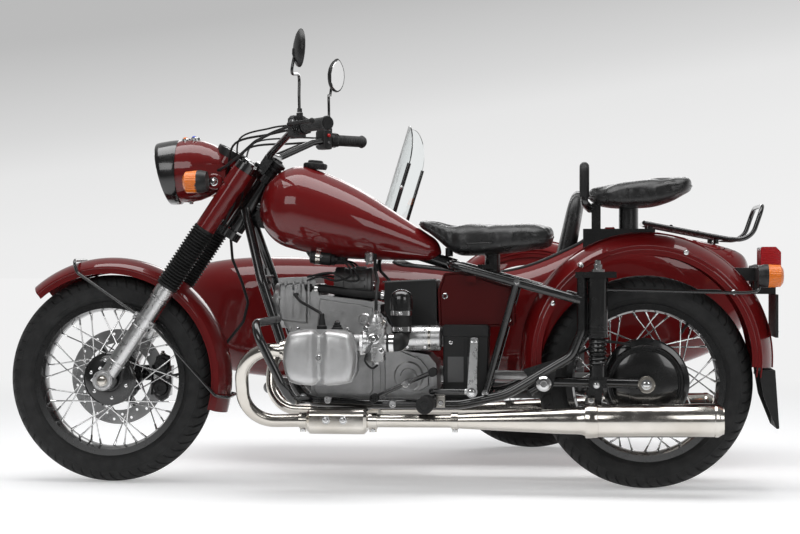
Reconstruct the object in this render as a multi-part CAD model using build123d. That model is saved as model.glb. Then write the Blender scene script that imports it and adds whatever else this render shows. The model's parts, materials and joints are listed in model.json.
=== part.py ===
from build123d import *
import math
import os

# Sidecar motorcycle: flat-twin machine with a passenger sidecar on its right side.
# Millimetres. X runs forward from the rear axle, Y to the rider's left, Z up from the ground.

# Wheels and tyres (4.00-18 all round)
WHEELBASE = 1680.0
TYRE_RADIUS = 328.0
TYRE_HALF = 54.0
BEAD_RADIUS = 228.9
BEAD_HALF = 42.0
RIM_SEAT = 228.6
RIM_FLANGE = 243.0
RIM_WELL = 221.0
SPOKE_COUNT = 36
SPOKE_RADIUS = 2.2
AXLE_RADIUS = 10.0
AXLE_CLEARANCE = 0.08
SIDE_TRACK = 1130.0
SIDE_LEAD = 380.0

# Steering and fork
RAKE = 34.0
FORK_OFFSET = 60.0
LEG_SPREAD = 101.0
SLIDER_RADIUS = 26.0
SLIDER_TOP = 352.0
GAITER_RADIUS = 37.0
GAITER_TOP = 572.0
SHROUD_RADIUS = 32.0
SHROUD_TOP = 788.0
YOKE_LOW = 580.0
YOKE_HIGH = 606.0
HEAD_LOW = 612.0
HEAD_HIGH = 785.0

# Frame
FRAME_TUBE = 15.0
BACKBONE_TUBE = 20.0
RAIL_SPREAD = 140.0

# Engine
CASE_HALF = 90.0
CYL_X = 960.0
CYL_Z = 417.0
HEAD_OUT = 345.0
COVER_OUT = 396.0

# Sidecar
HULL_Y = -712.0
HULL_WALL = 10.0
LID_FRONT = 84.0
LID_REAR = -292.0
LID_HALF = 200.0
LID_GAP = 5.0

SEAT_GAP = 0.3


def rod(start, end, radius):
    axis = Vector(*end) - Vector(*start)
    place = Plane(origin=start, z_dir=axis)
    return place * Cylinder(radius, axis.length, align=(Align.CENTER, Align.CENTER, Align.MIN))


def bent_tube(points, radius, bend):
    path = FilletPolyline(*points, radius=bend)
    return sweep(Plane(origin=path @ 0, z_dir=path % 0) * Circle(radius), path=path)


def block(x, y, z):
    size = (x[1] - x[0], y[1] - y[0], z[1] - z[0])
    middle = ((x[0] + x[1]) / 2, (y[0] + y[1]) / 2, (z[0] + z[1]) / 2)
    return Pos(*middle) * Box(*size)


def slab(outline, y, corner=0.0):
    # A plate cut to a side outline of (X, Z) points, between two Y values.
    face = make_face(Polyline(*outline, close=True))
    if corner:
        face = fillet(face.vertices(), corner)
    place = Plane(origin=(0, y[1], 0), x_dir=(1, 0, 0), z_dir=(0, -1, 0))
    return extrude(place * face, y[1] - y[0])


def spun(outline, centre, start=0.0, arc=360.0):
    # A closed outline of (radius, Y) edges turned about a crosswise axis, from forward up and over.
    turn = Axis((0, 0, 0), (0, -1, 0))
    return Pos(*centre) * Rot(0, -start, 0) * revolve(make_face(outline), turn, arc)


def spun_about(outline, start, end):
    # A half outline of (distance, radius) points turned about the line from start to end.
    along = Vector(*end) - Vector(*start)
    place = Plane(origin=start, x_dir=Vector(0, 1, 0), z_dir=along)
    points = [(radius, distance) for distance, radius in outline]
    face = Plane.XZ * make_face(Polyline(*points, close=True))
    return place * revolve(face, Axis.Z)


def mirrored(shape):
    return mirror(shape, about=Plane.XZ)


def both_sides(shape):
    return Compound(children=[*shape.solids(), *mirrored(shape).solids()])


def group(*shapes):
    return Compound(children=[solid for shape in shapes for solid in shape.solids()])


# Wheels

def tyre():
    bulge = (278.0, TYRE_HALF)
    shoulder = (308.0, 47.0)
    toe = [(244.0, -BEAD_HALF), (BEAD_RADIUS, -BEAD_HALF), (BEAD_RADIUS, BEAD_HALF), (244.0, BEAD_HALF)]
    line = Polyline(*toe)
    line += ThreePointArc((244.0, BEAD_HALF), bulge, shoulder)
    line += ThreePointArc(shoulder, (TYRE_RADIUS, 0), (shoulder[0], -shoulder[1]))
    line += ThreePointArc((shoulder[0], -shoulder[1]), (bulge[0], -bulge[1]), (244.0, -BEAD_HALF))
    return spun(line, (0, 0, 0))


def laced_wheel(flange_radius, flange_y, hub_outline, spread):
    edge = BEAD_HALF + SEAT_GAP
    half = [(RIM_FLANGE, 47.0), (RIM_FLANGE, edge), (RIM_SEAT, edge), (RIM_SEAT, 22.0), (RIM_WELL, 13.0)]
    inner = [(RIM_WELL - 5.0, 16.0), (RIM_SEAT - 5.0, 47.0)]
    outline = half + [(r, -y) for r, y in reversed(half)]
    outline += [(r, -y) for r, y in reversed(inner)] + inner
    wheel = spun(Polyline(*outline, close=True), (0, 0, 0))
    wheel += spun(Polyline(*hub_outline, close=True), (0, 0, 0))
    spokes = []
    for number in range(SPOKE_COUNT):
        side = 1 if number % 2 == 0 else -1
        lead = 1 if (number // 2) % 2 == 0 else -1
        outer = math.radians(360.0 * number / SPOKE_COUNT)
        hub = outer + lead * math.radians(spread)
        low = (flange_radius * math.cos(hub), side * flange_y, flange_radius * math.sin(hub))
        reach = RIM_WELL - 3.0
        high = (reach * math.cos(outer), side * 7.0, reach * math.sin(outer))
        spokes.append(rod(low, high, SPOKE_RADIUS))
    return wheel + spokes


BORE = AXLE_RADIUS + AXLE_CLEARANCE
FRONT_HUB = [
    (BORE, -52), (34, -52), (34, -46), (84, -44), (84, -36), (58, -32),
    (58, 32), (84, 36), (84, 44), (74, 52), (34, 54), (34, 56), (BORE, 56),
]
DRUM_HUB = [
    (BORE, -58), (40, -58), (40, -46), (128, -44), (134, -42), (134, -34), (122, -32),
    (122, 32), (134, 34), (134, 42), (128, 46), (BORE, 46),
]
DISC_OUT = 153.0
DISC_IN = 108.0
DISC_Y = -62.0
DISC_HALF = 2.5
DISC_HOLES = 30


def brake_disc():
    ring = Cylinder(DISC_OUT, 2 * DISC_HALF) - Cylinder(DISC_IN, 2 * DISC_HALF)
    holes = []
    for number in range(DISC_HOLES):
        radius = (122.0, 138.0)[number % 2]
        holes.append(PolarLocations(radius, 1, 360.0 * number / DISC_HOLES).locations[0] * Cylinder(4.5, 8))
    ring -= holes
    arms = [Rot(0, 0, 60 * n) * Pos(72, 0, 0) * Box(80, 22, 4) for n in range(6)]
    ring += arms
    ring += Cylinder(40, 4)
    ring -= Cylinder(BORE, 8)
    return Pos(0, DISC_Y, 0) * Rot(90, 0, 0) * ring


front_centre = Pos(WHEELBASE, 0, TYRE_RADIUS)
rear_centre = Pos(0, 0, TYRE_RADIUS)
side_centre = Pos(SIDE_LEAD, -SIDE_TRACK, TYRE_RADIUS)

TYRE = tyre()
DRUM_WHEEL = laced_wheel(129.0, 38.0, DRUM_HUB, 24.0)
hub_spacer = Pos(0, -56, 0) * Rot(90, 0, 0) * (Cylinder(34, 8.4) - Cylinder(BORE, 9))
front_wheel = front_centre * (laced_wheel(79.0, 40.0, FRONT_HUB, 44.0) + hub_spacer + brake_disc())
rear_wheel = rear_centre * DRUM_WHEEL
side_wheel = side_centre * DRUM_WHEEL
front_tyre = front_centre * TYRE
rear_tyre = rear_centre * TYRE
side_tyre = side_centre * TYRE

# Front fork, in its own leaning frame: x ahead of the legs, z up the legs from the axle
lean = math.radians(RAKE)
FORK = Plane(
    origin=(WHEELBASE, 0, TYRE_RADIUS),
    x_dir=(math.cos(lean), 0, math.sin(lean)),
    z_dir=(-math.sin(lean), 0, math.cos(lean)),
)


def fork_point(x, y, z):
    spot = FORK.from_local_coords(Vector(x, y, z))
    return (spot.X, spot.Y, spot.Z)


def upright(x, y, low, high, radius):
    return Pos(x, y, (low + high) / 2) * Cylinder(radius, high - low)


def fork_slider():
    leg = upright(0, LEG_SPREAD, -6, SLIDER_TOP, SLIDER_RADIUS)
    leg += upright(0, LEG_SPREAD, SLIDER_TOP - 34, SLIDER_TOP - 6, SLIDER_RADIUS + 4)
    leg += upright(0, LEG_SPREAD, 214, 236, SLIDER_RADIUS + 3)
    leg += Pos(0, LEG_SPREAD, 0) * Rot(90, 0, 0) * Cylinder(32, 56)
    leg += Pos(26, LEG_SPREAD, 226) * Box(18, 26, 22)
    leg += Pos(-28, LEG_SPREAD, 226) * Box(18, 26, 22)
    return leg


def fork_gaiter():
    ribs = 22
    pitch = (GAITER_TOP - SLIDER_TOP - 2 * SEAT_GAP - 16) / ribs
    low = SLIDER_TOP + SEAT_GAP
    points = [(22.0, low), (33.0, low), (33.0, low + 8)]
    for number in range(ribs):
        foot = low + 8 + number * pitch
        points += [(GAITER_RADIUS, foot + 0.5 * pitch), (31.5, foot + pitch)]
    points += [(30.5, GAITER_TOP - SEAT_GAP), (22.0, GAITER_TOP - SEAT_GAP)]
    sleeve = revolve(Plane.XZ * make_face(Polyline(*points, close=True)), Axis.Z)
    return Pos(0, LEG_SPREAD, 0) * sleeve


def fork_shroud():
    sleeve = upright(0, LEG_SPREAD, GAITER_TOP, SHROUD_TOP, SHROUD_RADIUS)
    sleeve += upright(0, LEG_SPREAD, SHROUD_TOP - 60, SHROUD_TOP, SHROUD_RADIUS + 3)
    sleeve -= upright(0, LEG_SPREAD, GAITER_TOP - 1, SHROUD_TOP + 1, SHROUD_RADIUS - 3)
    slot = Pos(-20, LEG_SPREAD - 30, (YOKE_LOW + YOKE_HIGH) / 2) * Box(74, 60, 36)
    return sleeve - slot


def yoke_plate(low, high):
    # A plate that narrows from the two legs back to the steering stem.
    left = [(16, 101), (-20, 88), (-46, 34), (-84, 22)]
    right = [(x, -y) for x, y in reversed(left)]
    face = fillet(make_face(Polyline(*left, *right, close=True)).vertices(), 7)
    return Pos(0, 0, low) * extrude(face, high - low)


def fork_yokes():
    body = Part()
    for side in (1, -1):
        body += upright(0, side * LEG_SPREAD, SLIDER_TOP + SEAT_GAP, 812, 19)
        body += upright(0, side * LEG_SPREAD, YOKE_LOW, YOKE_HIGH, SHROUD_RADIUS - 3.6)
        body += upright(0, side * LEG_SPREAD, SHROUD_TOP + SEAT_GAP, 812, 33)
        body += upright(0, side * LEG_SPREAD, 812, 820, 22)
    lower_plate = yoke_plate(YOKE_LOW, YOKE_HIGH)
    for side in (1, -1):
        lower_plate -= upright(0, side * LEG_SPREAD, YOKE_LOW - 1, YOKE_HIGH + 1, SHROUD_RADIUS - 4)
    body += lower_plate & Box(400, 2 * LEG_SPREAD - 30, 2000)
    body += yoke_plate(SHROUD_TOP + SEAT_GAP, 812)
    body += upright(-FORK_OFFSET, 0, YOKE_LOW, 826, 13)
    body += upright(-FORK_OFFSET, 0, YOKE_LOW, YOKE_HIGH, 32)
    body += upright(-FORK_OFFSET, 0, 789, 812, 32)
    body += upright(-FORK_OFFSET, 0, 812, 828, 20)
    for side in (1, -1):
        body += Pos(-37, side * 42, 838) * Box(30, 22, 60)
    return body


sliders = both_sides(FORK * fork_slider())
gaiters = both_sides(FORK * fork_gaiter())
shrouds = both_sides(FORK * fork_shroud())
front_axle = rod((WHEELBASE, -134, TYRE_RADIUS), (WHEELBASE, 134, TYRE_RADIUS), AXLE_RADIUS)
yokes = FORK * fork_yokes()

# Handlebar, controls and mirrors
BAR_RADIUS = 11.0
BAR_CENTRE = fork_point(-38, 0, 872)
GRIP_END = (931.0, 404.0, 1103.0)
GRIP_START = (1026.0, 290.0, 1102.0)
half_bar = [GRIP_END, GRIP_START, (1072, 218, 1088), (BAR_CENTRE[0], 80, BAR_CENTRE[2])]
bar_points = half_bar + [(x, -y, z) for x, y, z in reversed(half_bar)]
handlebar = bent_tube(bar_points, BAR_RADIUS, 38)
yokes -= rod((BAR_CENTRE[0], -70, BAR_CENTRE[2]), (BAR_CENTRE[0], 70, BAR_CENTRE[2]), BAR_RADIUS + 0.1)

grip_dir = (Vector(*GRIP_END) - Vector(*GRIP_START)).normalized()
GRIP = Plane(origin=GRIP_END, x_dir=Vector(0, 0, 1), z_dir=grip_dir)


def hand_control():
    grip = Pos(0, 0, -60) * Cylinder(16.5, 118)
    grip += Pos(0, 0, -121) * Cylinder(20, 8)
    grip += Pos(0, 0, 2) * Cylinder(17.5, 7)
    housing = Pos(0, 0, -139) * Box(44, 40, 30)
    control = grip + fillet(housing.edges().filter_by(Axis.Z), 8)
    control += Pos(2, 26, -139) * Box(18, 34, 26)
    control += Pos(4, 12, -139) * Rot(0, 90, 0) * Cylinder(10, 52)
    lever = bent_tube([(2, 40, -140), (2, 68, -110), (2, 66, 22)], 5.5, 20)
    control += lever
    control += Pos(2, 66, 22) * Sphere(8.5)
    control -= Pos(0, 0, -100) * Cylinder(BAR_RADIUS + 0.1, 200.2)
    return GRIP * control


left_control = hand_control() - bent_tube(bar_points, BAR_RADIUS + 0.15, 38)
hand_controls = both_sides(left_control)

MIRROR = (1016.0, 378.0, 1326.0)
MIRROR_RADIUS = 56.0
mirror_base = GRIP.from_local_coords(Vector(30 + 0.8, 12, -139))


def mirror_unit():
    foot = (mirror_base.X, mirror_base.Y, mirror_base.Z)
    stem = bent_tube([foot, (foot[0] + 2, foot[1] + 4, 1180), (MIRROR[0] + 18, MIRROR[1] - 6, 1300)], 5, 40)
    face = Plane(origin=MIRROR, x_dir=(0.12, 1, 0), z_dir=(1, -0.12, 0.05))
    cup = face * Cylinder(MIRROR_RADIUS, 10)
    cup += face * Pos(0, 0, 5) * extrude(Circle(MIRROR_RADIUS), 14, taper=45)
    return stem + cup


mirrors = both_sides(mirror_unit())

# Headlamp with its instrument, on ears from the fork shrouds
LAMP_FRONT = (1468.0, 0.0, 982.0)
LAMP_BACK = (1296.0, 0.0, 1002.0)
SHELL_OUTLINE = [
    (0, 0), (0, 97), (30, 99), (62, 97), (95, 88), (125, 73), (150, 54), (166, 32), (172, 0),
]
headlamp_shell = spun_about(SHELL_OUTLINE, LAMP_FRONT, LAMP_BACK)
dial = Plane(origin=(1292, 0, 1040), z_dir=(-0.47, 0, 0.88))
headlamp_shell += dial * Pos(0, 0, -18) * Cylinder(50, 40)
for ear_side in (1, -1):
    ear_y = sorted((ear_side * 88, ear_side * 96))
    headlamp_shell += slab([(1300, 948), (1406, 930), (1412, 1006), (1296, 1000)], ear_y, 8)
    headlamp_shell += rod((1361, ear_side * 92, 961), (1361, ear_side * 104, 961), 12)
shroud_room = FORK * (upright(0, LEG_SPREAD, 540, 830, SHROUD_RADIUS + 3 + SEAT_GAP))
yoke_room = FORK * (Pos(-30, 0, 800) * Box(100, 280, 30))
headlamp_shell -= [shroud_room, mirrored(shroud_room), yoke_room]
RIM_OUTLINE = [
    (-0.3, 0), (-0.3, 99), (-10, 102), (-46, 100), (-50, 96), (-50, 91), (-57, 62), (-62, 30), (-63, 0),
]
headlamp_rim = spun_about(RIM_OUTLINE, LAMP_FRONT, LAMP_BACK)
visor = spun_about([(-20, 99), (-20, 104), (-66, 103), (-66, 99)], LAMP_FRONT, LAMP_BACK)
visor = visor & block((1400, 1600), (-88, 88), (1036, 1200))
headlamp_rim += visor


def lamp_drum(base, tip):
    # An indicator: a stem end, a black base and a domed lens.
    outline = [(0, 0), (0, 30), (18, 35), (30, 35), (66, 33), (74, 22), (77, 0)]
    return spun_about(outline, base, tip)


front_indicator = lamp_drum((1342, 150, 947), (1419, 150, 943))
front_indicator += rod((1361, 104.3, 961), (1361, 140, 961), 9)
front_indicators = both_sides(front_indicator)

# Front mudguard and its stays
GUARD_CROWN = 384.0
GUARD_HALF = 69.0
GUARD_EDGE = 338.0


def guard_section(crown, shoulder, half, edge, wall, bead):
    line = Polyline((shoulder, half), (edge, half), (edge, half + bead), (edge - 5, half + bead))
    line += Polyline((edge - 5, half + bead), (edge - 5, half - wall), (shoulder, half - wall))
    line += ThreePointArc((shoulder, half - wall), (crown - wall, 0), (shoulder, wall - half))
    line += Polyline((shoulder, wall - half), (edge - 5, wall - half), (edge - 5, -half - bead))
    line += Polyline((edge - 5, -half - bead), (edge, -half - bead), (edge, -half), (shoulder, -half))
    line += ThreePointArc((shoulder, -half), (crown, 0), (shoulder, half))
    return line


front_guard_line = guard_section(GUARD_CROWN, 356.0, GUARD_HALF, GUARD_EDGE, 3.0, 3.0)
front_mudguard = spun(front_guard_line, (WHEELBASE, 0, TYRE_RADIUS), 49.5, 146.5)
for guard_side in (1, -1):
    lug = FORK * (Pos(-4, guard_side * 71.4, 292) * Box(44, 5.8, 120))
    front_mudguard += lug
    front_mudguard -= FORK * upright(0, guard_side * LEG_SPREAD, 200, 353, SLIDER_RADIUS + 4.6)
    front_mudguard -= FORK * upright(0, guard_side * LEG_SPREAD, SLIDER_TOP - 1, 420, GAITER_RADIUS + 1.5)


def stay_loop(lug_x, angle, crown, lift):
    # A wire from the slider lug out to the guard edge, over its crown and back down the far side.
    reach = math.radians(angle)
    lug_end = fork_point(lug_x, LEG_SPREAD - 14.3, 226)
    spread = GUARD_HALF + 8.0
    edge = (WHEELBASE + 350 * math.cos(reach), spread, TYRE_RADIUS + 350 * math.sin(reach))
    top = (WHEELBASE + crown * math.cos(reach), spread, TYRE_RADIUS + crown * math.sin(reach))
    points = [lug_end, edge, top]
    points += [(x, -y, z) for x, y, z in reversed(points)]
    return bent_tube(points, 5.0, lift)


front_stays = group(
    stay_loop(26, 74, GUARD_CROWN + 6.0, [24, 22, 22, 24]),
    stay_loop(-28, 188, GUARD_CROWN + 6.0, [24, 22, 22, 24]),
)
front_stays = group(*[stay - sliders.solids() for stay in front_stays.solids()])

# Front brake caliper on the right slider, over the disc
CALIPER = Pos(WHEELBASE, 0, TYRE_RADIUS) * Rot(0, -184, 0)
caliper = CALIPER * Pos(142, -70, 0) * Box(64, 58, 96)
caliper = fillet(caliper.edges().filter_by(GeomType.LINE).group_by(SortBy.LENGTH)[-1], 12)
caliper -= CALIPER * Pos(122, DISC_Y, 0) * Box(80, 2 * DISC_HALF + 11, 120)
carrier = Pos(WHEELBASE, 0, TYRE_RADIUS) * Pos(-86, -84, 20) * Box(70, 10, 34)
slider_room = FORK * upright(0, -LEG_SPREAD, -40, 345, SLIDER_RADIUS + SEAT_GAP)
axle_room = Pos(WHEELBASE, -LEG_SPREAD, TYRE_RADIUS) * Rot(90, 0, 0) * Cylinder(32 + SEAT_GAP, 60)
caliper += carrier
caliper -= [slider_room, axle_room]

# Frame: backbone with steering head, and two cradle rails
head_low = fork_point(-FORK_OFFSET, 0, HEAD_LOW)
head_high = fork_point(-FORK_OFFSET, 0, HEAD_HIGH)
BACKBONE_FRONT = (1228.0, 0.0, 884.0)
BACKBONE_REAR = (585.0, 0.0, 687.0)
rail_points = [
    (1246, 30, 862), (1180, 108, 640), (1058, 116, 270), (850, RAIL_SPREAD, 264), (560, RAIL_SPREAD, 264),
    (420, RAIL_SPREAD, 296), (224, RAIL_SPREAD, 414), (194, RAIL_SPREAD, 490), (194, RAIL_SPREAD, 650),
]
saddle_points = [(600, 14, 692), (582, 104, 688), (196, 145, 582)]
backbone = rod(BACKBONE_FRONT, BACKBONE_REAR, BACKBONE_TUBE)
backbone += rod(head_low, head_high, 30)
backbone += slab([(1250, 905), (1255, 815), (1120, 790), (1040, 812), (1060, 850)], (-6, 6))
backbone -= rod(fork_point(-FORK_OFFSET, 0, 500), fork_point(-FORK_OFFSET, 0, 900), 13.1)


def cradle_rail():
    rail = bent_tube(rail_points, FRAME_TUBE, [120, 80, 200, 200, 200, 60, 30])
    rail += slab([(90, 650), (214, 650), (214, 668), (90, 668)], (112, 168))
    rail += rod((308, 104, 330), (308, 158, 330), 17)
    rail += slab([(280, 320), (336, 320), (372, 372), (262, 408)], (133, 147))
    rail += slab([(640, 258), (680, 258), (680, 290), (640, 290)], (132, 156))
    return rail


left_rail = cradle_rail()
right_rail = mirrored(left_rail)
rear_cross = rod((470, -RAIL_SPREAD, 283), (470, RAIL_SPREAD, 283), 11)
cradle = left_rail + right_rail + rear_cross
cradle -= backbone


def saddle_tube():
    tube = bent_tube(saddle_points, 14, 40)
    tube += rod((390, 126, 637), (486, 134, 300), 11)
    return tube


saddle_rails = saddle_tube()
saddle_rails = saddle_rails + mirrored(saddle_rails)
saddle_rails += rod((500, -116, 668), (500, 116, 668), 12)
saddle_rails -= [cradle, backbone]

# Engine and gearbox
case_side = [
    (1132, 648), (1018, 652), (1004, 596), (852, 578), (812, 566), (812, 292), (838, 262),
    (1018, 262), (1028, 300), (1034, 400), (1070, 460), (1112, 500),
]
engine_case = slab(case_side, (-CASE_HALF, CASE_HALF))
engine_case += slab([(850, 236), (1010, 236), (1010, 264), (850, 264)], (-84, 84))
for rib in range(7):
    engine_case += block((858 + 22 * rib, 866 + 22 * rib), (-92, 92), (238, 262))
for rib in range(4):
    engine_case += block((1032 + 24 * rib, 1038 + 24 * rib), (-95, 95), (520, 640))
for side in (1, -1):
    engine_case += Pos(CYL_X, side * 99, CYL_Z) * Rot(90, 0, 0) * Cylinder(76, 22)
engine_case += Pos(1070, 0, 560) * Rot(0, 90, 0) * Cylinder(70, 150)

FIN_PITCH = 15.0
FIN_COUNT = 9
HEAD_FINS = 5


def cylinder():
    inner = 110 + SEAT_GAP
    base = Pos(CYL_X, inner, CYL_Z) * Rot(-90, 0, 0)
    barrel = base * extrude(Circle(58), 150)
    for fin in range(FIN_COUNT):
        place = base * Pos(0, 0, 14 + fin * FIN_PITCH)
        barrel += place * extrude(RectangleRounded(150, 150, 40), 4)
    head_low_y = 252.0
    head = Pos(CYL_X, head_low_y, CYL_Z) * Rot(-90, 0, 0)
    barrel += head * extrude(RectangleRounded(176, 136, 40), HEAD_OUT - head_low_y)
    for fin in range(HEAD_FINS):
        place = head * Pos(0, 0, 4 + fin * 15.0)
        barrel += place * extrude(RectangleRounded(206, 162, 46), 5)
    barrel += head * Pos(0, 0, HEAD_OUT - head_low_y - 12) * extrude(RectangleRounded(214, 164, 48), 12)
    for stub in (-32, 32):
        barrel += rod((CYL_X + stub, inner, CYL_Z + 66), (CYL_X + stub, 256, CYL_Z + 66), 12)
    barrel += rod((CYL_X + 80, 300, CYL_Z + 18), (CYL_X + 112, 300, CYL_Z + 18), 27)
    barrel += rod((CYL_X - 80, 290, CYL_Z + 40), (CYL_X - 112, 290, CYL_Z + 40), 27)
    return barrel


cylinders = both_sides(cylinder())


def valve_cover():
    place = Pos(CYL_X, HEAD_OUT + SEAT_GAP, CYL_Z) * Rot(-90, 0, 0)
    outline = RectangleRounded(216, 164, 50)
    notch = Circle(20)
    flat = outline - [Pos(0, 86) * notch, Pos(0, -86) * notch]
    cover = place * extrude(flat, 16)
    deep = COVER_OUT - HEAD_OUT - 16
    for lobe in (-54, 54):
        cover += place * Pos(lobe, 0, 16) * extrude(RectangleRounded(92, 140, 36), deep, taper=14)
    cover += place * Pos(0, 0, 16) * extrude(RectangleRounded(80, 92, 20), deep * 0.7, taper=10)
    cover += place * Pos(0, 0, 16) * Cylinder(13, 40, align=(Align.CENTER, Align.CENTER, Align.MIN))
    return cover


valve_covers = both_sides(valve_cover())

GEAR_FRONT = 812.0 - SEAT_GAP
gear_side = [
    (GEAR_FRONT, 540), (780, 500), (740, 424), (664, 412), (640, 384), (636, 304), (660, 276),
    (GEAR_FRONT, 280),
]
gearbox = slab(gear_side, (-84, 84))
gearbox += rod((724, 80, 330), (724, 98, 330), 30)
gearbox += rod((664, -84, 344), (620, -84, 344), 24)

# Alternator on top of the case, carburettors, air box and intake elbows
alternator = rod((846, 0, 622), (960, 0, 622), 58)
alternator += slab([(860, 570), (950, 570), (950, 620), (860, 620)], (-48, 48))
alternator -= engine_case
alternator -= rod((990, 0, 560), (1200, 0, 560), 70.0 + SEAT_GAP)


def carburettor():
    mouth = CYL_X - 112 - SEAT_GAP
    body = rod((mouth, 290, 457), (mouth - 20, 290, 457), 30)
    body += rod((mouth - 18, 290, 457), (mouth - 78, 290, 457), 26)
    body += rod((mouth - 46, 290, 404), (mouth - 46, 290, 452), 27)
    body += rod((mouth - 46, 290, 460), (mouth - 46, 290, 520), 30)
    body += rod((mouth - 46, 290, 519), (mouth - 46, 290, 532), 22)
    return body


carburettors = both_sides(carburettor())

air_box = slab([(636, 424.6), (738, 424.6), (800, 548), (800, 636), (640, 644)], (-84, 84), 8)
can_outline = [(0, 0), (0, 30), (6, 38), (96, 38), (102, 32), (102, 0)]
filter_can = spun_about(can_outline, (640, 120, 466), (742, 120, 466))
filter_can -= block((600, 760), (0, 84 + SEAT_GAP), (400, 660))
filter_can = both_sides(filter_can)


def intake_elbow():
    start = (CYL_X - 112 - 78.6, 290, 457)
    elbow = bent_tube([start, (741, 290, 457), (735, 202, 462), (735, 202, 584)], 26, [26, 30])
    elbow += Pos(735, 202, 584) * Sphere(30)
    elbow += rod((735, 202, 560), (735, 84.4, 560), 22)
    return elbow - carburettor()


intake_elbows = both_sides(intake_elbow())

# Battery on its tray, kept by a strap
battery = block((478, 616), (14, 116), (290, 496))
battery = fillet(battery.edges().filter_by(Axis.Z), 6)
battery += block((474, 620), (-60, 118), (278, 290))
battery -= rod((470, -200, 283), (470, 200, 283), 11 + SEAT_GAP)
battery += block((590, 610), (-124.6, 124.6), (272, 279))


# Side panels below the saddle
panel_side = [(398, 500), (630, 496), (634, 612), (616, 664), (560, 668), (404, 622)]
side_panel = slab(panel_side, (30, 88), 14)
side_panel += block((515, 545), (84, 114), (636, 654.8))
side_panels = both_sides(side_panel)

# Fuel tank: a teardrop turned about a sloping line, widened, with a channel for the backbone
TANK_NOSE = (1110.0, 865.0)
TANK_TIP = (644.0, 715.0)
TANK_WIDEN = 1.14
tank_slope = math.atan2(TANK_NOSE[1] - TANK_TIP[1], TANK_NOSE[0] - TANK_TIP[0])


def tank_body(grow):
    line = ThreePointArc((-94 - grow, 0), (-60 - grow, 92 + grow), (30, 131 + grow))
    line += ThreePointArc((30, 131 + grow), (150, 121 + grow), (262, 97 + grow))
    line += Line((262, 97 + grow), (452, 42 + grow))
    line += ThreePointArc((452, 42 + grow), (486 + grow, 24 + grow), (500 + grow, 0))
    line += Line((500 + grow, 0), (-94 - grow, 0))
    return scale(revolve(make_face(line), Axis.X), by=(1, 1, TANK_WIDEN))


TANK = Plane(
    origin=(TANK_NOSE[0] - 13 * math.sin(tank_slope), 0, TANK_NOSE[1] + 13 * math.cos(tank_slope)),
    x_dir=(-math.cos(tank_slope), 0, -math.sin(tank_slope)),
    z_dir=(0, 1, 0),
)
tank_full = TANK * tank_body(0.0)
tank = tank_full
channel_wall = BACKBONE_TUBE + SEAT_GAP
backbone_fall = (BACKBONE_FRONT[2] - BACKBONE_REAR[2]) / (BACKBONE_FRONT[0] - BACKBONE_REAR[0])
channel_front = (1300.0, 0.0, BACKBONE_FRONT[2] + backbone_fall * (1300.0 - BACKBONE_FRONT[0]))
channel_rear = (560.0, 0.0, BACKBONE_REAR[2] - backbone_fall * (BACKBONE_REAR[0] - 560.0))
channel_side = [(1300, channel_front[2]), (560, channel_rear[2]), (560, 500), (1300, 500)]
tank -= [rod(channel_front, channel_rear, channel_wall), slab(channel_side, (-channel_wall, channel_wall))]
tank -= rod(fork_point(-FORK_OFFSET, 0, 500), fork_point(-FORK_OFFSET, 0, 900), 42)
tank -= rod(fork_point(-FORK_OFFSET, 0, 768), fork_point(-FORK_OFFSET, 0, 900), 53)
tank -= rod(fork_point(-FORK_OFFSET, 0, 800), fork_point(-FORK_OFFSET, 0, 900), 60)
tank -= slab([(1270, 905), (1270, 780), (1110, 780), (1030, 800), (1050, 860)], (-30, 30))
cap_place = Plane(origin=(1029, 0, 994), z_dir=(-0.08, 0, 1))
tank_cap = cap_place * Pos(0, 0, 12) * Cylinder(34, 24)
tank_cap += cap_place * Pos(0, 0, 26) * Cylinder(26, 8)
tank_cap -= tank_full

# Saddles
saddle_side = [
    (688, 792), (690, 818), (672, 828), (600, 800), (520, 792), (420, 800), (330, 822), (296, 806),
    (286, 770),
    (320, 742), (640, 742),
]
saddle_half = [(700, 46), (560, 92), (440, 148), (330, 150), (276, 110)]
saddle_outline = saddle_half + [(x, -y) for x, y in reversed(saddle_half)]
saddle_plan = make_face(Polyline(*saddle_outline, close=True))
saddle_plan = fillet(saddle_plan.vertices(), 18)
rider_saddle = slab(saddle_side, (-160, 160), 9) & extrude(Plane.XY.offset(700) * saddle_plan, 160)
rider_saddle -= TANK * tank_body(1.0)
pillion_side = [
    (168, 905), (150, 930), (90, 944), (0, 956), (-90, 962), (-130, 944), (-136, 900), (-110, 868), (60, 864),
    (150, 880),
]
pillion_plan = Pos(16, 0) * RectangleRounded(304, 264, 70)
pillion_saddle = slab(pillion_side, (-132, 132), 9) & extrude(Plane.XY.offset(840) * pillion_plan, 140)

# Rear mudguard with its saddle brackets
REAR_GUARD = (0.0, 0.0, 403.0)
REAR_CROWN = 386.0
REAR_HALF = 94.0
rear_line = guard_section(REAR_CROWN, 348.0, REAR_HALF, 322.0, 3.0, 3.0)
rear_mudguard = spun(rear_line, REAR_GUARD, -6.0, 190.0)
for ridge in (-22, 22):
    rib = [(-4, ridge - 5), (1, ridge - 4), (1, ridge + 4), (-4, ridge + 5)]
    rib_line = Polyline(*[(REAR_CROWN + rise, y) for rise, y in rib], close=True)
    rear_mudguard += spun(rib_line, REAR_GUARD, -6.0, 190.0)
for side in (1, -1):
    rear_mudguard += block((176, 212), sorted((93 * side, 124.6 * side)), (606, 640))
room_radius = REAR_CROWN + 1 + SEAT_GAP
room_line = Polyline((0.01, -120), (room_radius, -120), (room_radius, 120), (0.01, 120), close=True)
guard_room = spun(room_line, REAR_GUARD)
saddle_mounts = block((-30, 190), (-40, 40), (700, 800))
saddle_mounts += rod((50, 0, 795), (50, 0, 863.7), 30)
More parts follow.
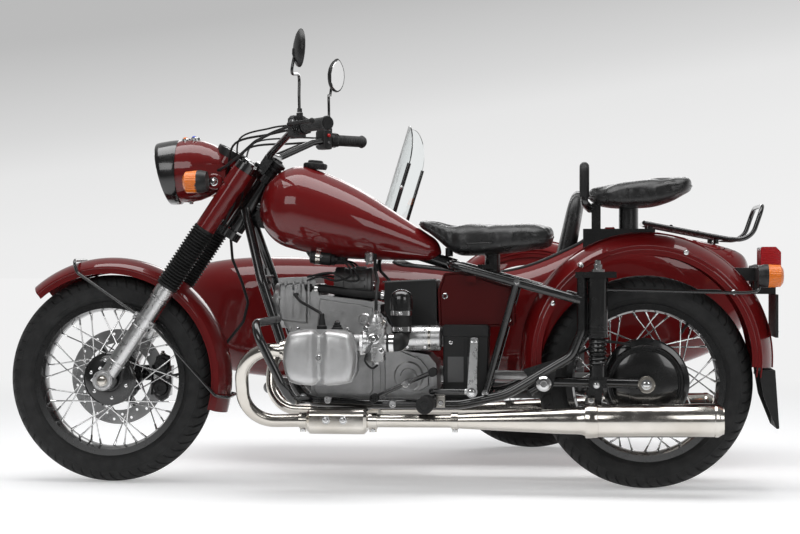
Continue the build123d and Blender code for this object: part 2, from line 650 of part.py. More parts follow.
saddle_mounts += block((136, 164), (-34, 34), (790, 879))
saddle_mounts -= guard_room
saddle_mounts -= pillion_saddle
handle_points = [
    (168, -48, 862), (186, -92, 880), (186, -92, 990), (186, 92, 990), (186, 92, 880), (168, 48, 862),
]
handle = bent_tube(handle_points, 11, [14, 36, 36, 14])
handle += rod((168, -60, 862), (168, 60, 862), 9)
handle += block((150, 170), (-30, 30), (850, 870))
saddle_mounts += handle
saddle_mounts -= slab([(p[0], p[1]) for p in pillion_side], (-133, 133), 9)

rider_mount = rod((470, 0, 666), (470, 0, 741.7), 24)
rider_mount += block((455, 515), (-30, 30), (676, 690))
rider_mount -= rod((500, -116, 668), (500, 116, 668), 12 + SEAT_GAP)
rider_mount += rod((606, 0, 715), (606, 0, 741.7), 12)
rider_mount -= rod(BACKBONE_FRONT, BACKBONE_REAR, BACKBONE_TUBE + SEAT_GAP)
rider_post = rider_mount

mudflap = block((-352, -344), (-80, 80), (364, 440))
mudflap += block((-386, -344), (-80, 80), (364, 371))
mudflap += slab([(-386, 371), (-398, 196), (-391, 194), (-379, 371)], (-89, 89))
for side in (1, -1):
    lip_y = sorted((side * 80, side * 89))
    mudflap += slab([(-338, 371), (-386, 371), (-398, 196), (-390, 194), (-352, 290)], lip_y, 3)
for side in (1, -1):
    mudflap += block((-375, -350), (side * 36 - 8, side * 36 + 8), (394, 412))

# Tail lamp, indicators and plate bracket
tail_lamp = slab([(-346, 640), (-392, 636), (-407, 660), (-407, 728), (-392, 744), (-346, 744)], (-56, 56), 6)
rear_indicator = lamp_drum((-330, 131, 656), (-407, 131, 656))
PLATE_HOLES = 150.0
tail_bracket = block((-345.7, -330), (-128, 128), (640, 680))
tail_bracket += block((-340, -250), (-30, 30), (640, 680))
plate_bracket = block((-394, -386), (-100, 100), (470, 600))
plate_bracket += block((-394, -330), (-30, 30), (600, 632))
plate_bracket += block((-345.7, -330), (-30, 30), (600, 645))
plate_bracket += block((-394, -386), (-30, 30), (560, 632))
for hole in (-PLATE_HOLES / 2, PLATE_HOLES / 2):
    plate_bracket -= Pos(-390, hole, 560) * Rot(0, 90, 0) * Cylinder(3.5, 20)
tail_bracket += plate_bracket
tail_bracket -= guard_room
indicators_rear = both_sides(rear_indicator - block((-346 - SEAT_GAP, -300), (-128.3, 128.3), (639.7, 680.3)))

# Rear suspension and final drive
swingarm = rod((0, -128, TYRE_RADIUS), (0, 128, TYRE_RADIUS), AXLE_RADIUS)
swingarm += rod((350, -112, 300), (350, 112, 300), 12)
for side in (1, -1):
    arm = bent_tube([(352, 115, 304), (300, 115, 334), (20, 115, 330)], 15, 60)
    arm += rod((0, 100, TYRE_RADIUS), (0, 130, TYRE_RADIUS), 27)
    arm += rod((308, 101, 330), (308, 124.6, 330), 29)
    spacer_start = {1: 60.0, -1: 98.0}[side]
    arm += rod((0, spacer_start, TYRE_RADIUS), (0, 101, TYRE_RADIUS), 16)
    arm += slab([(120, 318), (172, 318), (172, 352), (120, 352)], (116, 152))
    swingarm += arm if side == 1 else mirrored(arm)
for side in (1, -1):
    swingarm -= rod((308, side * 90, 330), (308, side * 170, 330), 17 + SEAT_GAP)


def shock():
    body = rod((146, 140, 470), (146, 140, 649.7), 30)
    body += rod((146, 140, 384), (146, 140, 472), 17)
    body += rod((146, 140, 352.3), (146, 140, 386), 24)
    for coil in range(6):
        body += Pos(146, 140, 396 + 13 * coil) * Torus(20, 5)
    return body - rod((194, RAIL_SPREAD, 400), (194, RAIL_SPREAD, 660), FRAME_TUBE + SEAT_GAP)


shocks = both_sides(shock())

final_drive = rod((0, -97, TYRE_RADIUS), (0, -63, TYRE_RADIUS), 74)
final_drive += rod((60, -80, 334), (619.7, -84, 344), 14)
final_drive -= rod((0, -140, TYRE_RADIUS), (0, -40, TYRE_RADIUS), AXLE_RADIUS + SEAT_GAP)
final_drive -= rod((0, -130, TYRE_RADIUS), (0, -96.7, TYRE_RADIUS), 28)

drum_plate = rod((0, 50, TYRE_RADIUS), (0, 59.7, TYRE_RADIUS), 118)
drum_plate += slab([(-14, 336), (14, 336), (120, 345), (120, 325)], (52, 59.7))
drum_plate -= rod((0, 40, TYRE_RADIUS), (0, 90, TYRE_RADIUS), AXLE_RADIUS + SEAT_GAP)

# Exhaust pipes with catalyst boxes and mufflers
PIPE_RADIUS = 20.0
pipe_mouth = CYL_X + 112 + SEAT_GAP


def exhaust():
    pipe = bent_tube(
        [
            (pipe_mouth + 2, 300, CYL_Z + 18), (1212, 292, CYL_Z + 18), (1212, 222, 216),
            (1040, 192, 216), (560, 196, 219),
        ],
        PIPE_RADIUS, [100, 100, 60],
    )
    pipe += rod((pipe_mouth, 300, CYL_Z + 18), (pipe_mouth + 14, 300, CYL_Z + 18), 28)
    box = block((838, 1020), (142, 242), (178, 256))
    box = fillet(box.edges().filter_by(Axis.X), 26)
    pipe += chamfer(box.faces().sort_by(Axis.X)[0].edges() + box.faces().sort_by(Axis.X)[-1].edges(), 9)
    muffler = [
        (0, 0), (0, 22), (30, 24), (330, 40), (372, 42), (392, 50), (776, 50), (790, 40), (790, 30),
        (640, 28),
        (640, 0),
    ]
    pipe += spun_about(muffler, (568, 196, 219), (-222, 208, 230))
    pipe += slab([(140, 228), (188, 228), (170, 344), (128, 344)], (152.4, 158.4), 6)
    return pipe


exhaust_left = exhaust()
exhaust_right = mirrored(exhaust_left)

# Crash bars round the cylinders
crash_path = [(1128, 127.5, 520), (1158, 384, 516), (1046, 384, 292), (1030, 134.5, 272)]
crash_bar = bent_tube(crash_path, 13, [60, 70])
crash_bars = both_sides(crash_bar - left_rail)

# Foot controls: pegs, gear lever, brake pedal and kick lever


def peg():
    step = rod((660, 156.3, 270), (660, 272, 270), 12)
    step += rod((660, 170, 270), (660, 264, 270), 22)
    return step


gear_lever = bent_tube([(818, 176, 286), (724, 176, 330), (640, 176, 366)], 7, 40)
gear_lever += rod((724, 98.3, 330), (724, 184, 330), 11)
gear_lever += rod((818, 168, 286), (818, 222, 286), 10)
gear_lever += rod((640, 168, 366), (640, 216, 366), 10)
kick_lever = bent_tube([(648, 84.3, 306), (648, 178, 306), (522, 180, 306), (516, 180, 464)], 9, [16, 24])
kick_lever += slab([(505, 470), (527, 470), (538, 306), (510, 306)], (174, 186), 6)
kick_lever += rod((524, 168, 306), (524, 192, 306), 17)
brake_pedal = bent_tube([(640, -178, 300), (760, -178, 300), (830, -190, 290), (830, -240, 290)], 7, [20, 14])
brake_pedal += rod((660, -178, 292.3), (660, -178, 308), 10)
pegs = both_sides(peg())

# Horn on the downtubes
horn_place = Plane(origin=(1196, 0, 648), z_dir=(0.95, 0, -0.3))
horn = horn_place * Cylinder(42, 24)
horn += horn_place * Pos(0, 0, -14) * Cylinder(26, 14)
horn += rod((1180, -92.4, 652), (1180, 92.4, 652), 5)

# Fuel lines, plug leads and the breather hose round the engine
fuel_line = bent_tube(
    [(832, 60, 735), (832, 60, 672), (812, 150, 640), (801.7, 290, 600), (801.7, 290, 532.3)], 5, [24, 40, 40]
)
fuel_line -= tank_full
plug_lead = bent_tube(
    [(960, 318.5, 505), (960, 318.5, 545), (1040, 220, 578), (1071, 150, 598), (1071, 90.4, 598)],
    4.5,
    [20, 40, 24],
)
plug_lead += rod((960, 318.5, 498.4), (960, 318.5, 528), 9)
breather_hose = bent_tube([(1030, 78, 618), (980, 80, 614), (880, 80, 598), (797, 66, 592)], 13, 40)
breather_hose -= [engine_case, air_box]
engine_hoses = group(both_sides(fuel_line), both_sides(plug_lead), breather_hose)

# Clutch cable on the left and brake hose on the right, both turning with the fork
perch = GRIP.from_local_coords(Vector(2, 32, -152.4))
perch_left = (perch.X, perch.Y, perch.Z)
perch_right = (perch.X, -perch.Y, perch.Z)
clutch_cable = bent_tube(
    [perch_left, (1115, 262, 1088), (1183, 200, 1065), (1240, 152, 1026), (1290, 122, 994), (1322, 92, 982)],
    4.5, [40, 60, 60, 30],
)
clutch_cable -= [left_control, headlamp_shell]
brake_hose = bent_tube(
    [
        perch_right, (1118, -258, 1086), (1196, -196, 1046), (1262, -152, 960), (1318, -148, 830),
        (1324, -120, 775),
        (1316, -108, 707), (1284, -108, 630), (1265, -108, 568), (1280, -108, 505), (1340, -106, 430),
        (1425, -96, 350), (1508, -84, 330),
    ],
    4.5, 36,
)
brake_hose -= [mirrored(left_control), caliper]

# Sidecar hull: a lofted tub with a cockpit, a bulkhead and a trunk behind it
HULL_STATIONS = [
    # X, half width, bottom, top, corner radius
    (1604, 76, 478, 622, 48),
    (1574, 152, 418, 668, 90),
    (1480, 226, 342, 699, 110),
    (1280, 272, 298, 715, 120),
    (1000, 282, 285, 706, 110),
    (720, 282, 285, 686, 110),
    (450, 282, 285, 676, 110),
    (270, 282, 289, 734, 110),
    (130, 282, 300, 795, 110),
    (-190, 262, 368, 772, 110),
    (-330, 215, 450, 735, 100),
    (-372, 150, 520, 690, 60),
]


def hull_body(inset, stations):
    sections = []
    for x, half, bottom, top, corner in stations:
        place = Plane(origin=(x, HULL_Y, (bottom + top) / 2), x_dir=(0, 1, 0), z_dir=(1, 0, 0))
        shape = RectangleRounded(2 * (half - inset), top - bottom - 2 * inset, corner - inset)
        sections.append(place * shape)
    return loft(sections)


def sidecar_block(x, half, z):
    return block(x, (HULL_Y - half, HULL_Y + half), z)


hull_outer = hull_body(0.0, HULL_STATIONS)
INNER_STATIONS = [(HULL_STATIONS[0][0] - 12, *HULL_STATIONS[0][1:])]
INNER_STATIONS += HULL_STATIONS[1:-1]
INNER_STATIONS += [(HULL_STATIONS[-1][0] + 12, *HULL_STATIONS[-1][1:])]
hull_inner = hull_body(HULL_WALL, INNER_STATIONS)
hull_shell = hull_outer - hull_inner


def hull_hit(origin, direction, last):
    hits = [point for point, normal in hull_outer.find_intersection_points(Axis(origin, direction))]
    values = sorted(point.dot(Vector(*direction)) for point in hits)
    return values[-1] if last else values[0]


def deck_z(x, y):
    return hull_hit((x, y, 0), (0, 0, 1), True)


def floor_z(x, y):
    return hull_hit((x, y, 0), (0, 0, 1), False)


def inner_floor_z(x, y):
    hits = hull_inner.find_intersection_points(Axis((x, y, 0), (0, 0, 1)))
    return min(point.Z for point, normal in hits)


def wall_y(x, z):
    return hull_hit((x, 0, z), (0, 1, 0), False)


COCKPIT_X = (172.0, 836.0)
COCKPIT_HALF = 216.0
cockpit_plan = Pos((COCKPIT_X[0] + COCKPIT_X[1]) / 2, HULL_Y) * RectangleRounded(
    COCKPIT_X[1] - COCKPIT_X[0], 2 * COCKPIT_HALF, 40
)
lid_plan = Pos((LID_FRONT + LID_REAR) / 2, HULL_Y) * RectangleRounded(LID_FRONT - LID_REAR, 2 * LID_HALF, 60)
hatch_plan = Pos((LID_FRONT + LID_REAR) / 2, HULL_Y) * RectangleRounded(
    LID_FRONT - LID_REAR + 2 * LID_GAP, 2 * (LID_HALF + LID_GAP), 60 + LID_GAP
)
BULKHEAD = (112.0, 124.0)
bulkhead = sidecar_block(BULKHEAD, 300, (250, 850)) & hull_outer
hull = hull_shell + bulkhead
hull -= extrude(Plane.XY.offset(600) * cockpit_plan, 400)
hull -= extrude(Plane.XY.offset(600) * hatch_plan, 400)
lid = hull_shell & extrude(Plane.XY.offset(600) * lid_plan, 400)

# Lid hinge: pins on the hull, knuckles on the lid
HINGE_X = LID_FRONT + 2.0
HINGE_Z = deck_z(LID_FRONT, HULL_Y) + 7.0
HINGE_PIN = 3.0
for side in (1, -1):
    middle = HULL_Y + side * 100
    hull += rod((HINGE_X, middle - 32, HINGE_Z), (HINGE_X, middle + 32, HINGE_Z), HINGE_PIN)
    for end in (-27, 27):
        hull += rod((HINGE_X, middle + end - 4, HINGE_Z), (HINGE_X, middle + end + 4, HINGE_Z), 6)
        ear = middle + end
        hull += block((HINGE_X, HINGE_X + 26), (ear - 4, ear + 4), (HINGE_Z - 14, HINGE_Z + 5))
    knuckle = rod((HINGE_X, middle - 20, HINGE_Z), (HINGE_X, middle + 20, HINGE_Z), 6)
    knuckle += block((HINGE_X - 34, HINGE_X), (middle - 20, middle + 20), (HINGE_Z - 14, HINGE_Z - 3))
    knuckle -= block((LID_FRONT, HINGE_X + 20), (middle - 21, middle + 21), (HINGE_Z - 20, HINGE_Z - 6.5))
    lid += knuckle
    lid -= rod((HINGE_X, middle - 40, HINGE_Z), (HINGE_X, middle + 40, HINGE_Z), HINGE_PIN + 0.06)

# Luggage rack on the lid
RACK_HALF = 150.0
RACK_TUBE = 8.0


def rack_z(x):
    return deck_z(x, HULL_Y) + 26.0


rack_side = [(-20, rack_z(-20)), (-300, rack_z(-300) + 4), (-378, 772), (-418, 888)]
near_rail = [(x, HULL_Y + RACK_HALF, z) for x, z in rack_side]
far_rail = [(x, HULL_Y - RACK_HALF, z) for x, z in rack_side]
rack = bent_tube(near_rail + far_rail[::-1], RACK_TUBE, [120, 60, 40, 40, 60, 120])
rack += rod(near_rail[0], far_rail[0], RACK_TUBE)
for bar_x in (-110, -200, -285):
    bar_z = rack_z(bar_x) + 2
    rack += rod((bar_x, HULL_Y - RACK_HALF, bar_z), (bar_x, HULL_Y + RACK_HALF, bar_z), RACK_TUBE - 1)
for bar_y in (-75, 0, 75):
    rack += rod((-20, HULL_Y + bar_y, rack_z(-20)), (-285, HULL_Y + bar_y, rack_z(-285) + 2), RACK_TUBE - 2)
for foot_x in (-40, -262):
    for side in (1, -1):
        foot_y = HULL_Y + side * (RACK_HALF - 10)
        low = max(deck_z(foot_x + dx, foot_y + dy) for dx in (-12, 12) for dy in (-12, 12)) + SEAT_GAP
        rack += rod((foot_x, foot_y, low), (foot_x, foot_y, rack_z(foot_x)), 9)
        foot_z = rack_z(foot_x)
        rack += rod((foot_x, foot_y - side * 10, foot_z), (foot_x, foot_y + side * 10, foot_z), 7)

# Windscreen, its side posts, and the seat
SCREEN_LEAN = math.radians(17.0)
SCREEN_HALF = 240.0
SCREEN_FOOT = (946.0, 880.0)
SCREEN_WALL = 4.0
SCREEN_TOP = 1172.0
screen_dir = Vector(-math.sin(SCREEN_LEAN), 0, math.cos(SCREEN_LEAN))


def screen_edge(back):
    ends = [(SCREEN_FOOT[1] - back, HULL_Y + side * SCREEN_HALF) for side in (1, -1)]
    return ends[0], (SCREEN_FOOT[0] - back, HULL_Y), ends[1]


outer_arc = screen_edge(0.0)
inner_arc = screen_edge(SCREEN_WALL)
screen_line = ThreePointArc(*outer_arc) + Line(outer_arc[2], inner_arc[2])
screen_line += ThreePointArc(*reversed(inner_arc)) + Line(inner_arc[0], outer_arc[0])
SCREEN_BASE = 630.0
foot_shift = (704.0 - SCREEN_BASE) * math.tan(SCREEN_LEAN)
screen_face = Pos(foot_shift, 0, SCREEN_BASE) * make_face(screen_line)
screen_reach = (SCREEN_TOP - SCREEN_BASE) / math.cos(SCREEN_LEAN) + 40
windscreen = extrude(screen_face, amount=screen_reach, dir=screen_dir)
screen_front = Plane(origin=(0, HULL_Y, 840), x_dir=(0, 1, 0), z_dir=(1, 0, 0)) * RectangleRounded(
    2 * SCREEN_HALF, 2 * (SCREEN_TOP - 840), 150
)
hull_grown = hull_body(-SEAT_GAP, HULL_STATIONS)
windscreen &= extrude(screen_front, 1400)
windscreen -= hull_grown
screen_posts = Part()
for side in (1, -1):
    post_y = HULL_Y + side * (SCREEN_HALF + 7.3)
    low = Vector(SCREEN_FOOT[1] + foot_shift - 2, post_y, SCREEN_BASE)
    high = low + screen_dir * ((1034.0 - SCREEN_BASE) / math.cos(SCREEN_LEAN))
    post = rod((low.X, low.Y, low.Z), (high.X, high.Y, high.Z), 7) - hull_grown
    screen_posts += post.solids().sort_by(Axis.Z)[-1]

cushion = sidecar_block((290, 700), 200, (308, 450))
cushion = fillet(cushion.edges().filter_by(Axis.Z), 40)
for foot_x in (340, 650):
    for foot_y in (HULL_Y - 130, HULL_Y + 130):
        corners = [(foot_x + dx, foot_y + dy) for dx in (-20, 20) for dy in (-20, 20)]
        foot_low = max(inner_floor_z(*corner) for corner in corners) + SEAT_GAP
        cushion += rod((foot_x, foot_y, foot_low), (foot_x, foot_y, 320), 20)
back_side = [
    (286, 450.3), (366, 450.3), (306, 640), (268, 770), (232, 925), (212, 943), (190, 938), (184, 900),
    (200, 800),
    (222, 690),
]
back_plane = Plane(origin=(0, HULL_Y, 600), x_dir=(0, 1, 0), z_dir=(1, 0, 0))
back_front = back_plane * RectangleRounded(392, 2 * 343, 80)
backrest = slab(back_side, (HULL_Y - 196, HULL_Y + 196), 0) & extrude(back_front, 600)

# Sidecar chassis: a tube loop under the hull, cross tubes, pads and the four links to the motorcycle
LOOP_Z = 256.0
LOOP_TUBE = 20.0
loop_points = [(-110, -470, LOOP_Z), (1290, -470, LOOP_Z), (1290, -955, LOOP_Z), (-110, -955, LOOP_Z)]
side_frame = bent_tube(loop_points, LOOP_TUBE, 170)
for cross_x in (-80, 380, 960):
    side_frame += rod((cross_x, -470, LOOP_Z), (cross_x, -955, LOOP_Z), 17)
for pad_x in (380, 960):
    for pad_y in (HULL_Y - 140, HULL_Y + 140):
        pad_top = min(floor_z(pad_x + dx, pad_y + dy) for dx in (-22, 22) for dy in (-22, 22)) - SEAT_GAP
        side_frame += block((pad_x - 22, pad_x + 22), (pad_y - 22, pad_y + 22), (LOOP_Z, pad_top))
LINKS = [
    # sidecar end, motorcycle end, radius
    ((790, -470, 258), (790, -140, 262), 16),
    ((430, -470, 258), (430, -140, 294), 16),
    ((1270, -478, 262), (1195, -90, 690), 13),
    ((200, -470, 262), (194, -140, 600), 13),
]
for sidecar_end, cycle_end, radius in LINKS:
    side_frame += rod(sidecar_end, cycle_end, radius)
side_frame -= [cradle, saddle_rails]
side_frame = side_frame.solids().sort_by(SortBy.VOLUME)[-1]

# Sidecar wheel suspension, mudguard and lamp
ARM_Y = -1026.0


def side_axle(y_from, y_to, radius):
    return rod((SIDE_LEAD, y_from, TYRE_RADIUS), (SIDE_LEAD, y_to, TYRE_RADIUS), radius)


suspension = rod((660, ARM_Y, LOOP_Z), (SIDE_LEAD, ARM_Y, TYRE_RADIUS), 16)
suspension += rod((660, -955 - LOOP_TUBE - SEAT_GAP, LOOP_Z), (660, ARM_Y - 18, LOOP_Z), 22)
suspension += side_axle(ARM_Y + 16, -SIDE_TRACK - 66, AXLE_RADIUS)
suspension += side_axle(ARM_Y + 16, -SIDE_TRACK + 50, 24)
suspension += side_axle(-SIDE_TRACK + 60, -SIDE_TRACK + 50, 118)
suspension += side_axle(-SIDE_TRACK - 62, -SIDE_TRACK - 74, 17)
suspension += rod((470, ARM_Y, 310), (470, ARM_Y, 530), 12)
suspension += rod((470, ARM_Y, 400), (470, ARM_Y, 520), 20)
strut_wall = min(wall_y(470 + dx, z) for dx in (-24, 24) for z in (520, 550)) - SEAT_GAP
suspension += block((446, 494), (ARM_Y - 14, strut_wall), (520, 550))

SIDE_GUARD = (SIDE_LEAD, -SIDE_TRACK, 396.0)
side_line = guard_section(386.0, 350.0, 84.0, 324.0, 3.0, 3.0)
side_mudguard = spun(side_line, SIDE_GUARD, 4.0, 172.0)
for ridge in (-22, 22):
    side_rib = Polyline((382, ridge - 5), (387, ridge - 4), (387, ridge + 4), (382, ridge + 5), close=True)
    side_mudguard += spun(side_rib, SIDE_GUARD, 4.0, 172.0)
for lug_x in (SIDE_LEAD - 262, SIDE_LEAD + 262):
    lug_y = min(wall_y(lug_x + dx, 630 + dz) for dx in (-16, 16) for dz in (-14, 14)) - SEAT_GAP
    side_mudguard += block((lug_x - 16, lug_x + 16), (-SIDE_TRACK + 82, lug_y), (616, 644))
side_lamp = rod((470, -SIDE_TRACK, 740), (470, -SIDE_TRACK, 806), 24)
side_lamp += Pos(470, -SIDE_TRACK, 806) * Sphere(24)
side_lamp -= spun(Polyline((0.01, -40), (387.3, -40), (387.3, 40), (0.01, 40), close=True), SIDE_GUARD)

# Every piece by name, moved so the ground under the middle of the whole machine is the origin
PIECES = {
    "frame_top": group(backbone, saddle_rails),
    "frame_cradle": cradle,
    "engine_case": engine_case,
    "cylinders": cylinders,
    "valve_covers": valve_covers,
    "gearbox": gearbox,
    "alternator": alternator,
    "carburettors": carburettors,
    "air_box": air_box,
    "air_filters": filter_can,
    "intake_elbows": group(intake_elbows, engine_hoses),
    "battery": battery,
    "side_panels": side_panels,
    "fuel_tank": tank,
    "tank_cap": tank_cap,
    "rider_saddle": rider_saddle,
    "pillion_saddle": pillion_saddle,
    "saddle_brackets": group(saddle_mounts, rider_post),
    "rear_mudguard": rear_mudguard,
    "tail_lamp": tail_lamp,
    "tail_bracket": group(tail_bracket, mudflap),
    "rear_indicators": indicators_rear,
    "swingarm": group(swingarm, drum_plate),
    "rear_shocks": shocks,
    "final_drive": final_drive,
    "exhaust_left": exhaust_left,
    "exhaust_right": exhaust_right,
    "crash_bars": crash_bars,
    "foot_controls": group(pegs, gear_lever, kick_lever, brake_pedal),
    "horn": horn,
    "fork_yokes": yokes,
    "fork_sliders": group(sliders.solids()[0] + front_axle + sliders.solids()[1]),
    "fork_gaiters": gaiters,
    "fork_shrouds": shrouds,
    "handlebar": handlebar,
    "hand_controls": hand_controls,
    "mirrors": mirrors,
    "control_cables": group(clutch_cable, brake_hose),
    "headlamp_shell": headlamp_shell,
    "headlamp_rim": headlamp_rim,
    "front_indicators": front_indicators,
    "front_mudguard": front_mudguard,
    "front_stays": front_stays,
    "front_caliper": caliper,
    "front_wheel": front_wheel,
    "front_tyre": front_tyre,
    "rear_wheel": rear_wheel,
    "rear_tyre": rear_tyre,
    "sidecar_frame": side_frame,
    "sidecar_hull": hull,
    "sidecar_seat": group(cushion, backrest),
    "sidecar_windscreen": windscreen,
    "sidecar_screen_posts": screen_posts,
    "sidecar_suspension": suspension,
    "sidecar_mudguard": side_mudguard,
    "sidecar_lamp": side_lamp,
    "sidecar_wheel": side_wheel,
    "sidecar_tyre": side_tyre,
    "trunk_lid": lid,
    "luggage_rack": rack,
}

boxes = [piece.bounding_box() for piece in PIECES.values()]
low = [min(tuple(box.min)[axis] for box in boxes) for axis in range(3)]
high = [max(tuple(box.max)[axis] for box in boxes) for axis in range(3)]
SHIFT = Pos(-(low[0] + high[0]) / 2, -(low[1] + high[1]) / 2, -low[2])

os.makedirs("parts", exist_ok=True)
for name, piece in PIECES.items():
    export_step(SHIFT * piece, os.path.join("parts", name + ".step"))

print("shift", SHIFT.position.X, SHIFT.position.Y, SHIFT.position.Z)
print("size", [high[axis] - low[axis] for axis in range(3)])
print("hinge", HINGE_X, HULL_Y, HINGE_Z)
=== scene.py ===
import json
import math
import bpy
import bmesh
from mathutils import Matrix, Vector, noise as solid_noise


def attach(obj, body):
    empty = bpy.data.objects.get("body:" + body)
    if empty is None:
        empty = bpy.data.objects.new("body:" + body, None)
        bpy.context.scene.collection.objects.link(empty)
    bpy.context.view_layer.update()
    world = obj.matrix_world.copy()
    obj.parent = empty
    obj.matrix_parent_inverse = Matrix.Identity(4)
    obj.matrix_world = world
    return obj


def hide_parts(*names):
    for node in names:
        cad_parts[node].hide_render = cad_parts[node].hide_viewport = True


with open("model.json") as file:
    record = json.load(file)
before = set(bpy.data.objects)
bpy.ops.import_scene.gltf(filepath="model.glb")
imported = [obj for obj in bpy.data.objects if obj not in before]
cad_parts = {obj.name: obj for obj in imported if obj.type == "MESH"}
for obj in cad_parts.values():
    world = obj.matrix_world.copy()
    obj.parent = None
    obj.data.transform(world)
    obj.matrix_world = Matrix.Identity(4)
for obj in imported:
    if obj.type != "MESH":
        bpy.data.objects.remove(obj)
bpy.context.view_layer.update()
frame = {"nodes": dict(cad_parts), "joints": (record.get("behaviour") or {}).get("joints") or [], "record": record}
NODES = frame["nodes"]
JOINTS = {joint["name"]: joint for joint in frame["joints"]}
REAR_AXLE = JOINTS["rear_wheel_spin"]["pos_m"]
MM = 0.001

# Driving sizes, in millimetres from the rear axle: X forward, Y to the rider's left, Z up
WHEELBASE = 1680.0
TYRE_RADIUS = 328.0
SIDE_TRACK = 1130.0
SIDE_LEAD = 380.0
RAKE = math.radians(34.0)
LEG_SPREAD = 101.0
HULL_Y = -712.0
CYL_X = 960.0
CYL_Z = 417.0
COVER_BASE = 345.3
SIDES = (1, -1)
LEFT = (0, 1, 0)
RIGHT = (0, -1, 0)
UP = (0, 0, 1)
DOWN = (0, 0, -1)
AHEAD = (1, 0, 0)
BACK = (-1, 0, 0)
FORK_UP = (-math.sin(RAKE), 0, math.cos(RAKE))
XZ = (0, 2)
YZ = (1, 2)
XY = (0, 1)
WHEELS = [
    # body, tyre node, centre, flange radius, flange half width, spoke spread
    ("front_wheel", "front_tyre", (WHEELBASE, 0, TYRE_RADIUS), 79.0, 40.0, 44.0),
    ("rear_wheel", "rear_tyre", (0, 0, TYRE_RADIUS), 129.0, 38.0, 24.0),
    ("sidecar_wheel", "sidecar_tyre", (SIDE_LEAD, -SIDE_TRACK, TYRE_RADIUS), 129.0, 38.0, 24.0),
]
GRIP_END = Vector((931.0, 404.0, 1103.0))
GRIP_OUT = Vector((-95.0, 114.0, 1.0)).normalized()
GRIP_AHEAD = Vector((0.768, 0.640, 0.0))


def at(x, y, z):
    # A place in the shared frame, in metres.
    return Vector((REAR_AXLE[0] + x * MM, REAR_AXLE[1] + y * MM, z * MM))


def design(point):
    # The same place back in design millimetres.
    return Vector((point[0] - REAR_AXLE[0], point[1] - REAR_AXLE[1], point[2])) / MM


def flip(point, side):
    return Vector((point[0], point[1] * side, point[2]))


def polar(centre, radius, turn, plane=XZ):
    # A place on a circle round a centre, in the plane of two axes.
    spot = Vector(centre)
    spot[plane[0]] += radius * math.cos(turn)
    spot[plane[1]] += radius * math.sin(turn)
    return spot


def fork_at(x, y, z):
    # A place in the fork's leaning frame: x ahead of the legs, z up the legs from the axle.
    forward = WHEELBASE + x * math.cos(RAKE) - z * math.sin(RAKE)
    up = TYRE_RADIUS + x * math.sin(RAKE) + z * math.cos(RAKE)
    return forward, y, up


def grip_at(x, y, z):
    # A place in the left handgrip's frame: x up, y ahead of the bar, z out along the grip to its end.
    return GRIP_END + Vector((0, 0, x)) + GRIP_AHEAD * y + GRIP_OUT * z


# Materials

class Graph:
    # A node tree, with one call that makes a node, sets it and joins it.

    def __init__(self, owner):
        owner.use_nodes = True
        self.owner = owner
        self.tree = owner.node_tree

    def put(self, socket, value):
        if isinstance(value, bpy.types.NodeSocket):
            self.tree.links.new(value, socket)
        else:
            socket.default_value = value

    def node(self, kind, *inputs, **values):
        node = self.tree.nodes.new("ShaderNode" + kind)
        sockets = dict(enumerate(inputs))
        for key, value in values.items():
            name = key.replace("_", " ")
            if name in node.inputs:
                sockets[name] = value
            else:
                setattr(node, key, value)
        for name, value in sockets.items():
            self.put(node.inputs[name], value)
        return node

    def math(self, operation, *inputs):
        return self.node("Math", *inputs, operation=operation).outputs[0]

    def shade(self, **values):
        shader = self.tree.nodes["Principled BSDF"]
        for key, value in values.items():
            self.put(shader.inputs[key.replace("_", " ")], value)

    def ramp(self, value, stops):
        node = self.node("ValToRGB", Fac=value)
        elements = node.color_ramp.elements
        while len(elements) < len(stops):
            elements.new(0.5)
        for element, (place, colour) in zip(elements, stops):
            element.position = place
            element.color = (*colour, 1.0)
        return node.outputs["Color"]

    def between(self, low, high, *noise):
        return self.ramp(self.noise(*noise), [(0.3, low), (0.7, high)])

    def place(self, stretch=(1, 1, 1)):
        coords = self.node("TexCoord").outputs["Object"]
        return self.node("Mapping", Vector=coords, Scale=stretch).outputs["Vector"]

    def noise(self, scale, detail=4.0, rough=0.55, stretch=(1, 1, 1)):
        where = self.place(stretch)
        return self.node("TexNoise", Vector=where, Scale=scale, Detail=detail, Roughness=rough).outputs["Fac"]

    def bump(self, heights, depth):
        # Heights are stacked: each is a value with its share of the depth.
        below = {}
        for share, value in heights:
            node = self.node("Bump", Strength=1.0, Distance=depth * share, Height=value, **below)
            below = {"Normal": node.outputs["Normal"]}
        self.shade(**below)


def grey(level):
    return (level, level, level)


def new_material(name, colour, rough, **sockets):
    graph = Graph(bpy.data.materials.new(name))
    graph.shade(Base_Color=(*colour, 1.0), Roughness=rough, **sockets)
    return graph


# colour patches (noise scale, detail), roughness (noise scale, less, more), grain (share, noise), sockets
CLEAR_COAT = dict(Coat_Weight=1.0, Coat_Roughness=0.03, Specular_IOR_Level=0.1)
PAINT = ((2.2, 2.0), None, [(1.0, 420.0, 2.0)], CLEAR_COAT)
ENAMEL = (None, (18.0, 0.06, 0.1), [(1.0, 260.0, 3.0)], dict(Coat_Roughness=0.06))
CASTING = ((14.0, 6.0), (60.0, 0.08, 0.1), [(1.0, 900.0, 3.0), (2.0, 160.0, 4.0)], dict(Metallic=1.0))
POLISHED = ((5.0, 3.0), (30.0, 0.06, 0.08), [(1.0, 6.0, 3.0, 0.6, (2.0, 120.0, 120.0))], dict(Metallic=1.0))
ELASTIC_GRAIN = [(1.0, 1400.0, 2.0), (2.0, 90.0, 4.0)]
ELASTIC = ((24.0, 6.0), (40.0, 0.1, 0.1), ELASTIC_GRAIN, dict(Specular_IOR_Level=0.35))
